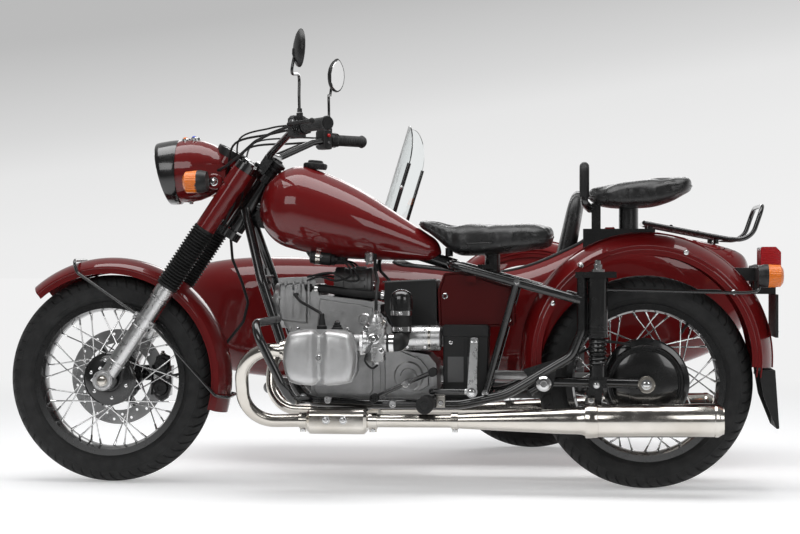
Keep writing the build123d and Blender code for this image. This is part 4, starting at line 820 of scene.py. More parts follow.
rows = [[cover_point(s, t) for s in grid_steps(GRID_S)] for t in grid_steps(GRID_T)]
rim = rows[0][:-1] + [row[-1] for row in rows[:-1]] + rows[-1][:0:-1] + [row[0] for row in rows[:0:-1]]
flange = []
for height, grow in FLANGE:
    y = COVER_BASE + height
    flange.append([(CYL_X + (p[0] - CYL_X) * grow, y, CYL_Z + (p[2] - CYL_Z) * grow) for p in rim])
kit = Shape("valve_cover_shells", SIDES)
kit.sheet(rows, COVER)
kit.skin(flange, COVER)
kit.skin([rim, [(x, COVER_BASE + 7, z) for x, y, z in rim]], COVER, cap=False)
kit.lathe((CYL_X, 372.0, CYL_Z), LEFT, [(0, 17), (8, 15), (11, 13), (11, 8)], COVER, 28)
kit.screw((CYL_X, 379.0, CYL_Z), LEFT, 9, 9)
kit.done("chassis", ["valve_covers"], 40.0)

# Engine fittings

SIDE_BOLTS = [
    # distance from the middle, places of the bolts as (X, Z)
    (90.0, [
        (1044, 632), (1118, 634), (1126, 588), (1124, 540), (1094, 490), (1052, 452), (1046, 540),
        (1030, 286), (846, 284), (836, 420), (834, 540), (1000, 272), (920, 270),
    ]),
    (84.0, [(798, 520), (760, 448), (700, 402), (652, 372), (648, 312), (684, 288), (790, 296), (800, 400)]),
]
CASE_PANELS = [
    # inner face, outer face, bevel, outline
    (89, 93, 4, [
        (1018, 300), (1026, 396), (1010, 480), (1000, 585), (870, 566), (836, 556), (834, 300), (850, 278),
        (1004, 278),
    ]),
    (83, 91, 5, [(800, 486), (766, 430), (688, 398), (664, 370), (662, 316), (690, 300), (798, 304)]),
    (88, 95, 7, [(1040, 506), (1122, 516), (1130, 560), (1126, 628), (1048, 636), (1040, 600)]),
]
BOOT = [(0, 14), (4, 15), (12, 15), (15, 11), (30, 9.5), (34, 8), (48, 7), (50, 5)]
CAP = [(0, 17), (10, 17), (13, 13), (18, 13), (19, 9), (26, 9), (28, 6), (28, 0)]
flange_nut = [(-2, 26)]
for foot in (0.0, 4.5, 9.0, 13.5):
    flange_nut += [(foot, 33), (foot + 2.4, 33), (foot + 2.6, 29.5), (foot + 4.3, 29.5)]
flange_nut += [(18, 29), (18, 21)]
kit = Shape("engine_fittings", SIDES)
for y, places in SIDE_BOLTS:
    for x, z in places:
        kit.bolt((x, y, z), LEFT, 4.6, 6, ALLOY)
for low, high, bevel, outline in CASE_PANELS:
    kit.plate(outline, low, high, ALLOY, bevel)
kit.lathe((724, 84, 346), LEFT, [(0, 46), (8, 46), (14, 41), (14, 26), (10, 24)], ALLOY, 36)
kit.lathe((860, 90, 520), LEFT, [(0, 20), (8, 20), (12, 16), (12, 7), (9, 6)], BRIGHT, 28)
kit.lathe((CYL_X, 318.5, 496), UP, BOOT, RUBBER, 24)
kit.lathe((CYL_X - 44, 308, 492), UP, CAP, RUBBER, 24)
kit.lathe((CYL_X - 44, 308, 517), UP, [(0, 7), (5, 7), (7, 4), (7, 0)], CHROME, 16)
for x in (CYL_X - 76, CYL_X + 74):
    kit.bolt((x, 300, 494), UP, 6, 9)
kit.lathe((CYL_X + 100, 300, CYL_Z + 18), AHEAD, flange_nut, STEEL, 32)
kit.sides = (1,)
kit.lathe((1143, 0, 560), AHEAD, [(0, 71), (5, 71), (10, 66), (10, 30), (14, 28), (14, 0)], ALLOY, 48)
kit.bolt_circle((1150, 0, 560), 58, AHEAD, 5, 7, first=30, plane=YZ)
kit.done("chassis")

# Alternator: end bands and ribs

DYNAMO_Z = 622
DYNAMO_RIBS = range(-2, 11)
kit = Shape("alternator_fittings")
kit.lathe((846, 0, DYNAMO_Z), AHEAD, [(-3, 40), (-3, 57), (0, 60), (10, 60), (12, 58.4)], DARK_METAL, 40)
kit.lathe((930, 0, DYNAMO_Z), AHEAD, [(0, 58.2), (2, 60), (30, 60), (32, 56), (32, 30)], DARK_METAL, 40)
kit.lathe((840, 0, DYNAMO_Z), AHEAD, [(0, 0), (0, 14), (4, 16), (8, 16)], CHROME, 24)
for number in DYNAMO_RIBS:
    turn = 2 * math.pi * number / 16
    rings = []
    for x, high in ((864, 56), (866, 62), (898, 62), (900, 56)):
        low_spot = polar((x, 0, DYNAMO_Z), 50, turn, YZ)
        high_spot = polar((x, 0, DYNAMO_Z), high, turn, YZ)
        corners = [(low_spot, -4), (low_spot, 4), (high_spot, 4), (high_spot, -4)]
        rings.append([polar(spot, wide, turn + math.pi / 2, YZ) for spot, wide in corners])
    kit.skin(rings, DARK_METAL)
kit.done("chassis")

# Ignition coils on a bracket below the backbone, with their wires

COIL = (1038, 46, 716)
COIL_AXIS = (-1, 0, -0.12)
COIL_BODY = [(0, 0), (0, 14), (4, 22), (66, 22), (70, 16), (78, 14), (78, 9), (88, 8), (88, 0)]
kit = Shape("ignition_coils")
kit.plate([(1064, 742), (910, 742), (936, 690), (1030, 690)], -26, 26, BLACK, 3)
kit.sides = SIDES
kit.lathe(COIL, COIL_AXIS, COIL_BODY, PLASTIC, 28)
kit.lathe(COIL, COIL_AXIS, band(20, 34, 21, 23.6), STEEL, 28)
kit.screw((1000, 68, 716), LEFT, 5, 5)
for shift in (0, 12):
    kit.tube([
        (958 - shift, 46, 704), (920 - shift, 62, 690), (906 - 2 * shift, 74, 656 - shift),
        (950 - 3 * shift, 92, 640), (1000 - 3 * shift, 100, 652 + shift), (1040, 92, 640 + shift),
    ], 3.4, RUBBER, 8)
kit.done("chassis")

# Carburettors, with the throttle cam, choke lever and idle screw on the outer face

CARB_X = 801.7
CARB_Y = 290.0
CARB_PARTS = [
    # height, finish, sides of the round, profile
    (400, BRIGHT, 32, [
        (-6, 0), (-6, 9), (0, 10), (2, 24), (6, 28.5), (44, 28.5), (46, 33), (54, 33), (56, 28),
    ]),
    (458, BRIGHT, 32, [
        (0, 30.5), (44, 31), (46, 34), (56, 34), (58, 30), (64, 27), (74, 24), (76, 16), (84, 14), (86, 0),
    ]),
    (542, CHROME, 12, [(0, 8), (10, 8), (12, 5), (30, 4.5), (30, 0)]),
]
CARB_KNOBS = [
    # place, axis, sides of the round, profile
    ((806, 316, 470), LEFT, 24, [(0, 17), (4, 17), (5, 15), (5, 8), (14, 8), (16, 6), (16, 0)]),
    ((782, 312, 436), LEFT, 16, [(0, 8), (8, 8), (9, 5), (18, 5), (18, 0)]),
    ((820, 312, 498), (0.5, 0.8, 0.2), 6, [(0, 7), (10, 7), (11, 9), (18, 9), (20, 6), (20, 0)]),
]
kit = Shape("carburettor_fittings", SIDES)
for z, material, count, profile in CARB_PARTS:
    kit.lathe((CARB_X, CARB_Y, z), UP, profile, material, count)
for turn in (45, 135, 225, 315):
    for z, axis in ((513, UP), (445, DOWN)):
        kit.screw(polar((CARB_X, CARB_Y, z), 27, math.radians(turn), XY), axis, 4, 5)
kit.lathe((846, CARB_Y, 457), BACK, [(-2, 36), (6, 36), (8, 30)], BRIGHT, 6)
for lift in (-27, 27):
    kit.bolt((839, CARB_Y, 457 + lift), BACK, 6, 9)
for place, axis, count, profile in CARB_KNOBS:
    kit.lathe(place, axis, profile, CHROME, count)
kit.plate([(800, 468), (812, 464), (834, 430), (828, 424)], 318, 322, CHROME, 1)
kit.plate([(770, 520), (778, 526), (796, 500), (790, 492)], 314, 317, STEEL, 1)
kit.tube([(826, 320, 428), (830, 322, 404), (812, 316, 384), (796, 300, 392)], 3.2, RUBBER, 8)
kit.done("chassis")

# Intake elbows, clamps and filter bands

ELBOW_X = 735
ELBOW_Y = 202
FILTER_Y = 120
FILTER_Z = 466
DOME = [(0, 30), (4, 34.5), (34, 35.5), (46, 33.5), (56, 27), (63, 15), (66, 0)]
kit = Shape("intake_fittings", SIDES)
for z in (496, 544):
    kit.lathe((ELBOW_X, ELBOW_Y, z), UP, band(-7, 7, 28, 33), CHROME, 32)
    kit.bolt((ELBOW_X, ELBOW_Y + 31, z), (0.5, 1, 0), 4.5, 10)
kit.lathe((ELBOW_X, ELBOW_Y, 550), UP, DOME, BLACK, 36)
kit.lathe((ELBOW_X, ELBOW_Y, 484), UP, [(0, 24), (0, 30), (66, 30.5), (66, 24)], RUBBER, 36)
kit.lathe((621, FILTER_Y, FILTER_Z), AHEAD, [(0, 0), (0, 34), (3, 38.4), (40, 38.4)], BRIGHT, 36)
kit.lathe((754, CARB_Y, 457), AHEAD, band(-6, 8, 26.2, 28.4), CHROME, 32)
for x in (656, 734):
    kit.lathe((x, FILTER_Y, FILTER_Z), AHEAD, band(-4, 4, 37, 39.6), STEEL, 36)
for x, z in ((668, 490), (722, 492), (722, 440), (668, 440)):
    kit.screw((x, 152, z), (0, 1, math.copysign(0.3, z - FILTER_Z)), 5, 5)
kit.sides = (1,)
kit.lathe((1036, 78, 618), (-1, 0.03, -0.07), [(-14, 15.5), (-8, 17), (10, 17), (12, 14)], RUBBER, 24)
for place in ((1012, 79, 616.5), (806, 68, 593)):
    kit.lathe(place, (1, -0.05, 0.1), band(-5, 5, 13.4, 15), CHROME, 24)
kit.plate([(806, 634), (640, 642), (640, 646), (806, 639)], 60, 86, CHROME, 1)
kit.done("chassis")

# Battery with a bare label, kick lever pad, panel screws and petcock

SIDE_PLATES = [
    # inner face, outer face, bevel, finish, outline
    (12, 119, 3, PLASTIC, [(476, 470), (618, 470), (618, 500), (612, 506), (482, 506), (476, 500)]),
    (115, 117, 1, LABEL, box_line(566, 369, 36, 39)),
    (116, 120, 1, RUBBER, box_line(547, 382, 6, 86)),
    (185, 189, 2, BRIGHT, [(508, 316), (534, 316), (526, 458), (508, 458)]),
    (84, 88, 1, CHROME, [(846, 722), (854, 722), (858, 690), (850, 688)]),
]
COCK = [(0, 17), (8, 17), (10, 11), (24, 11), (26, 15), (50, 15), (54, 10), (60, 10), (60, 0)]
kit = Shape("side_fittings")
for low, high, bevel, material, outline in SIDE_PLATES:
    kit.plate(outline, low, high, material, bevel)
kit.screw((592, 118, 452), LEFT, 6, 4)
kit.bolt((524, 191, 306), LEFT, 9, 8)
kit.lathe((850, 60, 752), DOWN, COCK, BRIGHT, 24)
kit.lathe((850, 74, 718), LEFT, [(0, 9), (8, 9), (10, 7), (10, 0)], CHROME, 20)
kit.sides = SIDES
kit.screw((612, 87, 593), LEFT, 9, 7)
kit.screw((416, 87, 520), LEFT, 7, 5)
kit.plate([(404, 506), (624, 502), (628, 610), (612, 658), (562, 662), (410, 618)], 86, 90, DARK_RED, 5)
kit.done("chassis")

# Filler cap with a ribbed edge

CAP_SEAT = Vector((1029, 0, 994))
CAP_RIBS = 20
kit = Shape("filler_cap")
dome = [(-4, 35), (2, 37), (11, 37), (14, 35), (16, 25), (22, 23), (24, 18), (24, 0)]
kit.lathe(CAP_SEAT, (-0.08, 0, 1), dome, PLASTIC, 48)
for number in range(CAP_RIBS):
    turn = 2 * math.pi * number / CAP_RIBS
    foot = polar(CAP_SEAT, 36.2, turn, XY) + Vector((0, 0, 2.9 * math.cos(turn)))
    kit.tube([foot + Vector((0, 0, 2)), foot + Vector((-0.8, 0, 11))], 2.0, PLASTIC, 6)
kit.done("chassis", ["tank_cap"])

# Frame bolts, footrests and lever rubbers

FRAME_BOLTS = [
    # X, Y, Z, radius, height
    (390, 138, 637, 7, 8), (486, 145, 300, 7, 8), (600, 30, 690, 8, 10), (1134, 142, 520, 8, 8),
]
rest = [(0, 20), (2, 25)]
for foot in range(4, 92, 11):
    rest += [(foot, 26), (foot + 7, 26), (foot + 8, 24), (foot + 10, 24)]
rest += [(94, 26), (98, 24), (98, 0)]
kit = Shape("frame_fittings", SIDES)
for place in ((968, 141, 276), (767, 154, 266), (1046, 131, 282)):
    kit.lathe(place, LEFT, [(-6, 12), (5, 12), (8, 10), (8, 6), (3, 5), (3, 0)], CHROME, 24)
kit.lathe((308, 157, 330), LEFT, [(0, 23), (4, 23), (9, 18), (10, 10), (8, 9), (8, 0)], CHROME, 32)
kit.plate(box_line(620, 274, 14, 18), 154, 159, STEEL, 2)
kit.screw((620, 158, 270), LEFT, 8, 6)
kit.lathe((660, 172, 270), LEFT, rest, RUBBER, 32)
for x, y, z, radius, height in FRAME_BOLTS:
    kit.bolt((x, y, z), LEFT, radius, height)
kit.sides = (1,)
for x, z in ((818, 286), (640, 366)):
    kit.lathe((x, 174, z), LEFT, [(0, 10), (2, 13), (10, 13.5), (44, 13.5), (48, 12), (48, 0)], RUBBER, 20)
kit.screw((724, 183, 330), LEFT, 12, 9)
kit.lathe((830, -190, 290), RIGHT, [(0, 10), (2, 13), (46, 13), (50, 11), (50, 0)], RUBBER, 20)
kit.done("chassis")

# Exhaust clamps, cover bolts and muffler bands

CLAMPS = [
    # X, Y, Z, radius, half width
    (1036, 192, 216, 24.5, 11), (822, 194, 217.4, 24.5, 13), (574, 196, 219, 25.5, 10),
]
MUFFLER = Vector((568, 196, 219))
MUFFLER_LINE = (Vector((-222, 208, 230)) - MUFFLER).normalized()
MUFFLER_BANDS = [
    [(384, 49), (384, 52), (386, 53.4), (420, 53.4), (422, 52), (422, 49)],
    [(762, 49), (764, 51), (774, 51), (788, 42), (791, 42), (791, 31), (780, 30)],
]
kit = Shape("exhaust_fittings", SIDES)
for x, y, z, radius, half in CLAMPS:
    kit.lathe((x, y, z), AHEAD, band(-half, half, radius - 4, radius), STEEL, 36)
    kit.plate(box_line(x, z - 27, half - 2, 7), y - 5, y + 5, STEEL, 1)
    kit.bolt((x, y + 4, z - 28), LEFT, 5, 6)
for x in (959, 907):
    kit.lathe((x, 240.5, 222), LEFT, [(0, 14), (4, 13), (6, 11), (6, 9)], CHROME, 28)
    kit.screw((x, 245, 222), LEFT, 8, 4)
for profile in MUFFLER_BANDS:
    kit.lathe(MUFFLER, MUFFLER_LINE, profile, STEEL, 56)
x, y, z = MUFFLER + MUFFLER_LINE * 402
kit.plate(box_line(x, z + 59, 10, 9), y - 5, y + 5, STEEL, 1)
kit.bolt((x, y + 4, z + 60), LEFT, 5, 6)
kit.bolt((150, 158, 328), LEFT, 7, 7)
kit.done("chassis")

# Rear end: shock tops and bands, drum fittings, guard stays and bolts

SHOCK = (146, 140, 0)
SHOCK_TOP = [(667, 20), (676, 20), (678, 13), (690, 13), (692, 9), (702, 9), (704, 6), (706, 0)]
STAY = [
    (122, 146, 614), (84, 130, 613), (-20, 106, 611), (-200, 104, 607), (-322, 112, 608), (-338, 114, 642),
]
DRUM = [(0, 117), (6, 117), (9, 114), (9, 107), (6, 105), (6, 101), (10, 98), (15, 82), (18, 52), (18, 0)]
kit = Shape("rear_fittings", SIDES)
kit.lathe(SHOCK, UP, SHOCK_TOP, CHROME, 24)
for low, high, wide in ((470, 482, 32.5), (488, 494, 31.6), (500, 506, 31.6), (636, 649, 32)):
    kit.lathe(SHOCK, UP, band(low, high, 28, wide, 1.5), BLACK, 36)
kit.tube(STAY, 5.0, BLACK, 10)
kit.lathe((0, 127.5, TYRE_RADIUS), LEFT, [(0, 26), (3, 26), (4.5, 24), (4.5, 11)], STEEL, 32)
kit.bolt((0, 131, TYRE_RADIUS), LEFT, 11, 10)
for x, z in ((282, 571), (196, 688), (-120, 726), (-262, 606)):
    kit.lathe((x, 93.5, z), LEFT, [(0, 9), (2, 9), (5, 7), (7, 3), (7, 0)], CHROME, 20)
kit.screw((-360, 36, 404), BACK, 10, 6)
kit.screw((-394, 60, 486), BACK, 6, 5)
kit.sides = (1,)
for y in (140, -140):
    kit.tube(coil_line((146, y, 392), 23, 60, 1.26), 4.4, BLACK, 8, 2)
kit.lathe((0, 59.0, TYRE_RADIUS), LEFT, DRUM, BLACK, 72)
kit.tube([(48, 66, 446), (130, 92, 452), (240, 118, 400), (330, 122, 360)], 4.0, RUBBER, 8)
kit.bolt_circle((0, -97, TYRE_RADIUS), 60, RIGHT, 6, 7, BRIGHT)
sleeve = [(186, -92, 896), (186, -92, 962), (186, -80, 983), (186, -56, 990), (186, 0, 990)]
kit.tube(sleeve + [(x, -y, z) for x, y, z in sleeve[-2::-1]], 15.0, RUBBER, 14)
kit.done("chassis")

# Saddles: stuffed leather on a formed base, with folds and a piped edge

AROUND = 48
RIDER_STATIONS = [
    # X, half width, top, bottom, from the back to the nose
    (282, 44, 796, 766), (288, 96, 806, 750), (306, 132, 814, 740), (346, 149, 819, 735),
    (404, 149, 822, 727), (468, 138, 822, 720), (530, 112, 820, 718), (572, 92, 817, 720),
    (606, 76, 818, 738), (640, 62, 824, 766), (668, 50, 829, 788), (686, 40, 831, 799), (696, 24, 828, 808),
]
PILLION_STATIONS = [
    (-140, 40, 940, 922), (-135, 80, 952, 914), (-118, 112, 961, 904), (-80, 130, 962, 884),
    (-20, 132, 957, 868), (50, 126, 948, 863), (104, 110, 940, 865), (140, 88, 932, 872),
    (162, 62, 924, 884), (172, 34, 914, 894),
]


def wrinkle(x, y, z, scale, reach):
    return solid_noise.noise(Vector((x, y, z)) * scale) * reach


def saddle_point(turn, folds, x, half, middle, tall):
    c = math.cos(turn)
    s = math.sin(turn)
    y = half * math.copysign(abs(c) ** 0.72, c)
    z = middle + tall * math.copysign(abs(s) ** (0.85 if s > 0 else 0.5), s)
    if s > 0:
        z -= tall * 0.20 * math.exp(-(y / (half * 0.35 + 1)) ** 2)
    skirt = max(0.0, 1 - abs(s - 0.1) / 0.9) * abs(c)
    fold = math.sin(x * folds + 2.2 * math.sin(x * 0.031) + (0.8 if y > 0 else 2.1))
    deep = fold * 3.4 * skirt + wrinkle(x, y, z, 0.022, 4.0) + wrinkle(x, y, z, 0.011, 5.0)
    y += math.copysign(deep, y) * min(1.0, abs(c) * 1.5) * min(1.0, half / 40.0)
    crease = max(0.0, 1 - abs(wrinkle(x * 0.6 + 0.5 * abs(y), 1.6 * y, 0.5 * z, 0.012, 7.0)))
    lift = wrinkle(x + 40, y, z, 0.014, 6.0) - 6.5 * crease
    z += lift * (1.0 if s > 0 else 0.2) * min(1.0, half / 60.0)
    return x, y, z


def saddle(name, node, stations, folds, seam_lift):
    turns = [2 * math.pi * k / AROUND for k in range(AROUND)]
    points = [Vector(row) for row in smooth_rows(stations, 6)]
    rings = []
    seam = []
    for x, half, top, bottom in points:
        middle = (top + bottom) / 2
        tall = (top - bottom) / 2
        rings.append([saddle_point(turn, folds, x, half, middle, tall) for turn in turns])
        seam.append((x, half * 0.985, middle + tall * seam_lift))
    ends = [[(p[0] + reach, 0, (p[2] + p[3]) / 2)] for p, reach in ((points[0], -2), (points[-1], 2))]
    loop = seam + [(x, -y, z) for x, y, z in seam[::-1]]
    kit = Shape(name)
    kit.skin([ends[0], *rings, ends[1]], LEATHER)
    kit.tube(loop[::3] + [loop[0]], 3.4, LEATHER, 8, 3)
    piece = kit.done("chassis", [node], 60.0)
    soft = piece.modifiers.new("soft", "SUBSURF")
    soft.levels = 1
    soft.render_levels = 1


saddle("rider_seat_leather", "rider_saddle", RIDER_STATIONS, 0.11, -0.30)
saddle("pillion_seat_leather", "pillion_saddle", PILLION_STATIONS, 0.13, -0.20)

# Sidecar seat: cushion and backrest with sewn channels

PAD_STEPS = 72
CHANNELS = [-0.72, -0.36, 0.0, 0.36, 0.72]
CUSHION = [
    (296, 330), (296, 400), (310, 438), (380, 446), (520, 448), (650, 444), (690, 430), (698, 390),
    (694, 330), (640, 312), (500, 309), (350, 312),
]
BACKREST = [
    (292, 445), (356, 446), (346, 500), (308, 630), (272, 760), (238, 900), (216, 938), (194, 934),
    (187, 896), (204, 790), (226, 680), (262, 540),
]


def pad(name, outline, half, groove, replaces):
    # A closed side outline of (X, Z) points, carried across the seat and drawn in at both ends.
    line = smooth_rows(outline + [outline[0]], 5)[:-1]
    middle_x = sum(p[0] for p in line) / len(line)
    middle_z = sum(p[1] for p in line) / len(line)
    rings = []
    for step in range(PAD_STEPS + 1):
        share = -1 + 2 * step / PAD_STEPS
        bulge = (1 - abs(share) ** 5) ** 0.35
        dent = sum(math.exp(-((share - channel) / 0.022) ** 2) for channel in CHANNELS)
        shrink = 0.30 + 0.70 * bulge - groove * min(1.0, dent) + 0.02 * math.cos(share * math.pi / 2)
        y = HULL_Y + half * share
        ring = []
        for x, z in line:
            grow = shrink * (1 + wrinkle(x, y, z, 0.012, 0.02))
            ring.append((middle_x + (x - middle_x) * grow, y, middle_z + (z - middle_z) * grow))
        rings.append(ring)
    kit = Shape(name)
    kit.skin(rings, LEATHER)
    kit.done("chassis", replaces, 60.0)


pad("sidecar_seat_cushion", CUSHION, 198.0, 0.06, ["sidecar_seat"])
pad("sidecar_seat_back", BACKREST, 194.0, 0.04, ())

# Sidecar trim: seat feet and rolled cockpit edge

EDGE_BACK = 172.0
EDGE_FRONT = 836.0
EDGE_HALF = 216.0
EDGE_CORNER = 40.0


def top_of(node, x, y, otherwise):
    # The height of a CAD piece's top, straight down at a place.
    hit, spot = NODES[node].ray_cast(at(x, y, 1000.0), Vector(DOWN))[:2]
    return design(spot).z if hit else otherwise


low_x = EDGE_BACK + EDGE_CORNER
high_x = EDGE_FRONT - EDGE_CORNER
wide = EDGE_HALF - EDGE_CORNER
edge = []
for x, y, first in ((high_x, wide, 0), (low_x, wide, 90), (low_x, -wide, 180), (high_x, -wide, 270)):
    edge += [polar((x, HULL_Y + y, 0), EDGE_CORNER, math.radians(first + 15 * step), XY) for step in range(7)]
roll = []
for a, b in zip(edge, edge[1:] + edge[:1]):
    parts = max(1, int((b - a).length / 40))
    for k in range(parts):
        spot = a + (b - a) * k / parts
        out = spot + (spot - Vector(((EDGE_BACK + EDGE_FRONT) / 2, HULL_Y, 0))).normalized() * 5
        roll.append((spot.x, spot.y, top_of("sidecar_hull", out.x, out.y, 700.0) - 1))
kit = Shape("sidecar_trim")
for x in (340, 650):
    for side in SIDES:
        kit.lathe((x, HULL_Y + side * 130, 293), UP, [(0, 0), (0, 20), (26, 20), (28, 0)], PLASTIC, 24)
kit.tube(roll + roll[:1], 8.0, RUBBER, 10, 2)
kit.done("chassis")

# Sidecar fittings: screen post bolts, axle nut, guard bolts and suspension spring

SIDE_HUB = Vector(WHEELS[2][2])
POST_TALL = 330
POST_LEAN = math.tan(math.radians(17.0))
kit = Shape("sidecar_fittings")
for side in SIDES:
    for rise in (0.25 * POST_TALL, 0.75 * POST_TALL):
        kit.bolt((878 - rise * POST_LEAN, HULL_Y + side * 253.3, 704 + rise), (0, side, 0), 5, 5)
kit.bolt(SIDE_HUB + Vector((0, -73, 0)), RIGHT, 14, 8)
for reach in (-262, 262):
    kit.bolt((SIDE_LEAD + reach, -SIDE_TRACK + 110, 643), UP, 6, 7)
kit.tube(coil_line((470, -1026, 404), 24, 80, 1.4), 4.4, BLACK, 8, 2)
kit.done("chassis")

# Inner valance of the sidecar mudguard, and pressed beads along the mudguard sides

SIDE_GUARD = (SIDE_LEAD, -SIDE_TRACK, 396.0)
VALANCE_Y = 80.0
ARC_STEPS = 60
VALANCE = [
    # radius, shift inward
    (330.0, 0.0), (330.0, 3.0), (306.0, 4.0), (296.0, 7.0), (290.0, 7.0), (290.0, 3.5), (304.0, 0.0),
]
BEADS = [
    # piece, body, centre, half width, radii, first and last angle
    ("rear_guard_beads", "chassis", (0, 0, 403.0), 93.4, (346.0, 334.0), -5.0, 189.0),
    ("front_guard_beads", "steering", (WHEELBASE, 0, TYRE_RADIUS), 68.4, (351.0,), 50.0, 146.0),
    ("sidecar_guard_beads", "chassis", SIDE_GUARD, 83.4, (346.0, 335.0), 5.0, 171.0),
]


def arc(centre, y, radius, first, last):
    turns = [math.radians(first + (last - first) * step / ARC_STEPS) for step in range(ARC_STEPS + 1)]
    return [polar((centre[0], centre[1] + y, centre[2]), radius, turn) for turn in turns]


kit = Shape("sidecar_guard_valance")
rows = [arc(SIDE_GUARD, VALANCE_Y + shift, radius, 12, 164) for radius, shift in VALANCE]
kit.skin([list(column) for column in zip(*rows)], RED)
kit.done("chassis")
for name, body, centre, half, radii, first, last in BEADS:
    kit = Shape(name)
    for y in (half, -half):
        for radius in radii:
            kit.tube(arc(centre, y, radius, first, last), 2.6, RED, 8, 1)
    kit.done(body)

# Sidecar hub and trunk lid handle

kit = Shape("sidecar_hub_fittings")
kit.bolt_circle(SIDE_HUB + Vector((0, -44.5, 0)), 100, RIGHT, 6, 6)
kit.lathe(SIDE_HUB + Vector((0, -46, 0)), RIGHT, [(0, 64), (4, 62), (10, 46), (12, 41)], BLACK, 40)
kit.done("sidecar_wheel")

HANDLE = [
    # X, distance from the middle, where the lid's height is taken, lift above it
    (-262, -36, -36, -1), (-268, -34, 0, 12), (-268, 34, 0, 12), (-262, 36, 36, -1),
]
kit = Shape("trunk_lid_handle")
line = []
for x, wide, taken, lift in HANDLE:
    line.append((x, HULL_Y + wide, top_of("trunk_lid", x, HULL_Y + taken, 760.0) + lift))
kit.tube(line, 4.0, BLACK, 10)
for y in (HULL_Y + 100, HULL_Y - 100):
    kit.bolt((40, y, top_of("trunk_lid", 40, y, 760.0)), UP, 5, 4)
kit.done("trunk_lid")

# Studio

WORLD_TINT = (0.94, 0.96, 1.0, 1.0)
WORLD_LIGHT = 0.30
SKY_SLOPE = 0.15
# place on the ramp, level
SKY = [(0.0, 0.88), (0.06, 0.84), (0.095, 0.79), (0.116, 0.69), (0.17, 0.50), (0.6, 0.42)]
SKY_SHADE = [(0.25, 1.0), (0.52, 0.34), (0.80, 0.14)]
LAMPS = [
    # name, place, aim, width, height, power
    ("overhead_softbox", (800, 100, 3400), (800, -200, 400), 4.2, 1.8, 92.0),
    ("left_softbox", (2300, 3600, 2300), (900, 0, 600), 2.4, 1.6, 34.0),
    ("rear_softbox", (-1900, 3300, 1900), (300, 0, 500), 1.6, 1.6, 20.0),
    ("back_softbox", (600, -4200, 2600), (800, 0, 700), 3.0, 1.6, 40.0),
]
FLOOR_SIZE = 60.0
FLOOR_GREY = 0.84
FLOOR_LEVEL = 0.88
FLOOR_LIFT = 0.31
# metres from the middle over which the floor fades out, and Y over which its reflection darkens
FLOOR_FADE = (1.5, 5.0)
FLOOR_SHADE = (0.7, 2.8)
FLOOR_DARK = 0.12
SENSOR = 36.0
FOCAL_SHARE = 1714.0 / 800.0
EYE = (205, 5345, 702)
EYE_TURN = math.radians(6.0)
EYE_SHIFT = (0.0025, -0.008)


def place_object(name, data):
    piece = bpy.data.objects.new(name, data)
    bpy.context.scene.collection.objects.link(piece)
    return piece


def look(piece, direction):
    piece.rotation_euler = Vector(direction).to_track_quat("-Z", "Y").to_euler()


def studio():
    world = bpy.data.worlds.new("studio")
    bpy.context.scene.view_settings.view_transform = "Standard"
    bpy.context.scene.world = world
    graph = Graph(world)
    ways = graph.node("SeparateXYZ", graph.node("TexCoord").outputs["Generated"]).outputs
    slope = graph.math("MULTIPLY_ADD", ways["X"], SKY_SLOPE, ways["Z"])
    sky = graph.ramp(slope, [(place, grey(level)) for place, level in SKY])
    turn = graph.math("MULTIPLY_ADD", ways["Y"], 0.5, 0.5)
    shade = graph.ramp(turn, [(place, grey(level)) for place, level in SKY_SHADE])
    dim = graph.node("Mix", data_type="RGBA", blend_type="MULTIPLY", Factor=1.0, A=sky, B=shade)
    light = graph.node("Background", Color=WORLD_TINT, Strength=WORLD_LIGHT)
    seen = graph.node("Background", Color=sky)
    gloss = graph.node("Background", Color=dim.outputs["Result"])
    ray = graph.node("LightPath").outputs
    clear = graph.math("MAXIMUM", ray["Is Camera Ray"], ray["Is Transmission Ray"])
    first = graph.node("MixShader", ray["Is Glossy Ray"], light.outputs[0], gloss.outputs[0])
    second = graph.node("MixShader", clear, first.outputs[0], seen.outputs[0])
    graph.put(graph.tree.nodes["World Output"].inputs["Surface"], second.outputs[0])
    for name, place, aim, width, height, power in LAMPS:
        data = bpy.data.lights.new(name, "AREA")
        data.shape = "RECTANGLE"
        data.size = width
        data.size_y = height
        data.energy = power
        lamp = place_object(name, data)
        lamp.location = at(*place)
        look(lamp, at(*aim) - at(*place))


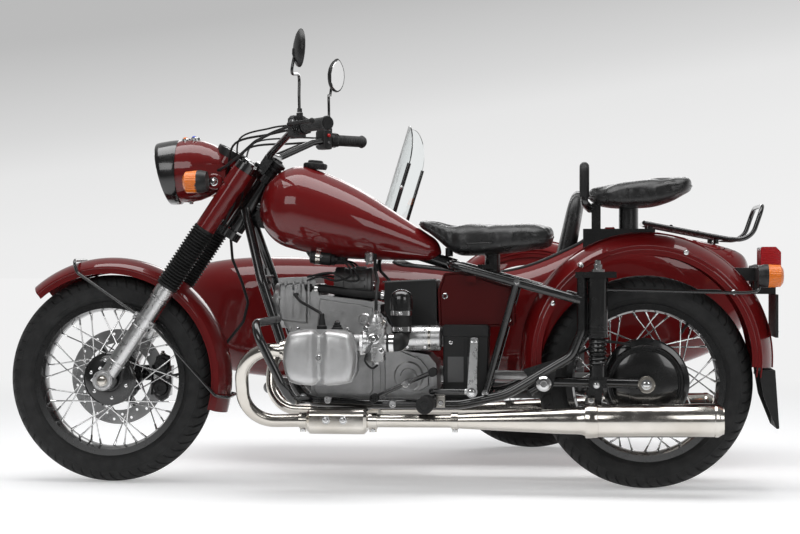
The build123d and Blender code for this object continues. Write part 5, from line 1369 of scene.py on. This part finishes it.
def floor():
    mesh = bpy.data.meshes.new("studio_floor")
    sheet = bmesh.new()
    bmesh.ops.create_grid(sheet, x_segments=2, y_segments=2, size=FLOOR_SIZE)
    sheet.to_mesh(mesh)
    sheet.free()
    piece = place_object("studio_floor", mesh)
    piece.location = (0, 0, -0.0005)
    graph = new_material("floor_paper", grey(FLOOR_GREY), 0.7)
    coords = graph.node("TexCoord").outputs["Object"]
    far = graph.node("VectorMath", coords, operation="LENGTH").outputs["Value"]
    fade = dict(zip(("From_Min", "From_Max"), FLOOR_FADE))
    spread = graph.node("MapRange", interpolation_type="SMOOTHSTEP", Value=far, **fade)
    # What the eye, glass and polished faces see of the floor; one side is darker in reflections.
    shade = dict(zip(("From_Min", "From_Max"), FLOOR_SHADE))
    sideways = graph.node("SeparateXYZ", coords).outputs["Y"]
    dark = graph.node("MapRange", Value=sideways, To_Min=1.0, To_Max=FLOOR_DARK, **shade)
    ray = graph.node("LightPath").outputs
    gloss = graph.math("MULTIPLY", ray["Is Glossy Ray"], dark.outputs["Result"])
    clear = graph.math("MAXIMUM", ray["Is Camera Ray"], ray["Is Transmission Ray"])
    seen = graph.math("MAXIMUM", clear, gloss)
    distant = graph.node("Emission", Strength=graph.math("MULTIPLY", seen, FLOOR_LEVEL))
    glow = graph.node("Emission", Strength=graph.math("MULTIPLY", seen, FLOOR_LIFT))
    near = graph.node("AddShader", graph.tree.nodes["Principled BSDF"].outputs[0], glow.outputs[0])
    mix = graph.node("MixShader", spread.outputs["Result"], near.outputs[0], distant.outputs[0])
    graph.put(graph.tree.nodes["Material Output"].inputs["Surface"], mix.outputs[0])
    mesh.materials.append(graph.owner)


def camera():
    data = bpy.data.cameras.new("camera")
    data.sensor_width = SENSOR
    data.lens = SENSOR * FOCAL_SHARE
    data.shift_x, data.shift_y = EYE_SHIFT
    eye = place_object("camera", data)
    eye.location = at(*EYE)
    look(eye, (math.sin(EYE_TURN), -math.cos(EYE_TURN), 0))
    bpy.context.scene.camera = eye


studio()
floor()
camera()
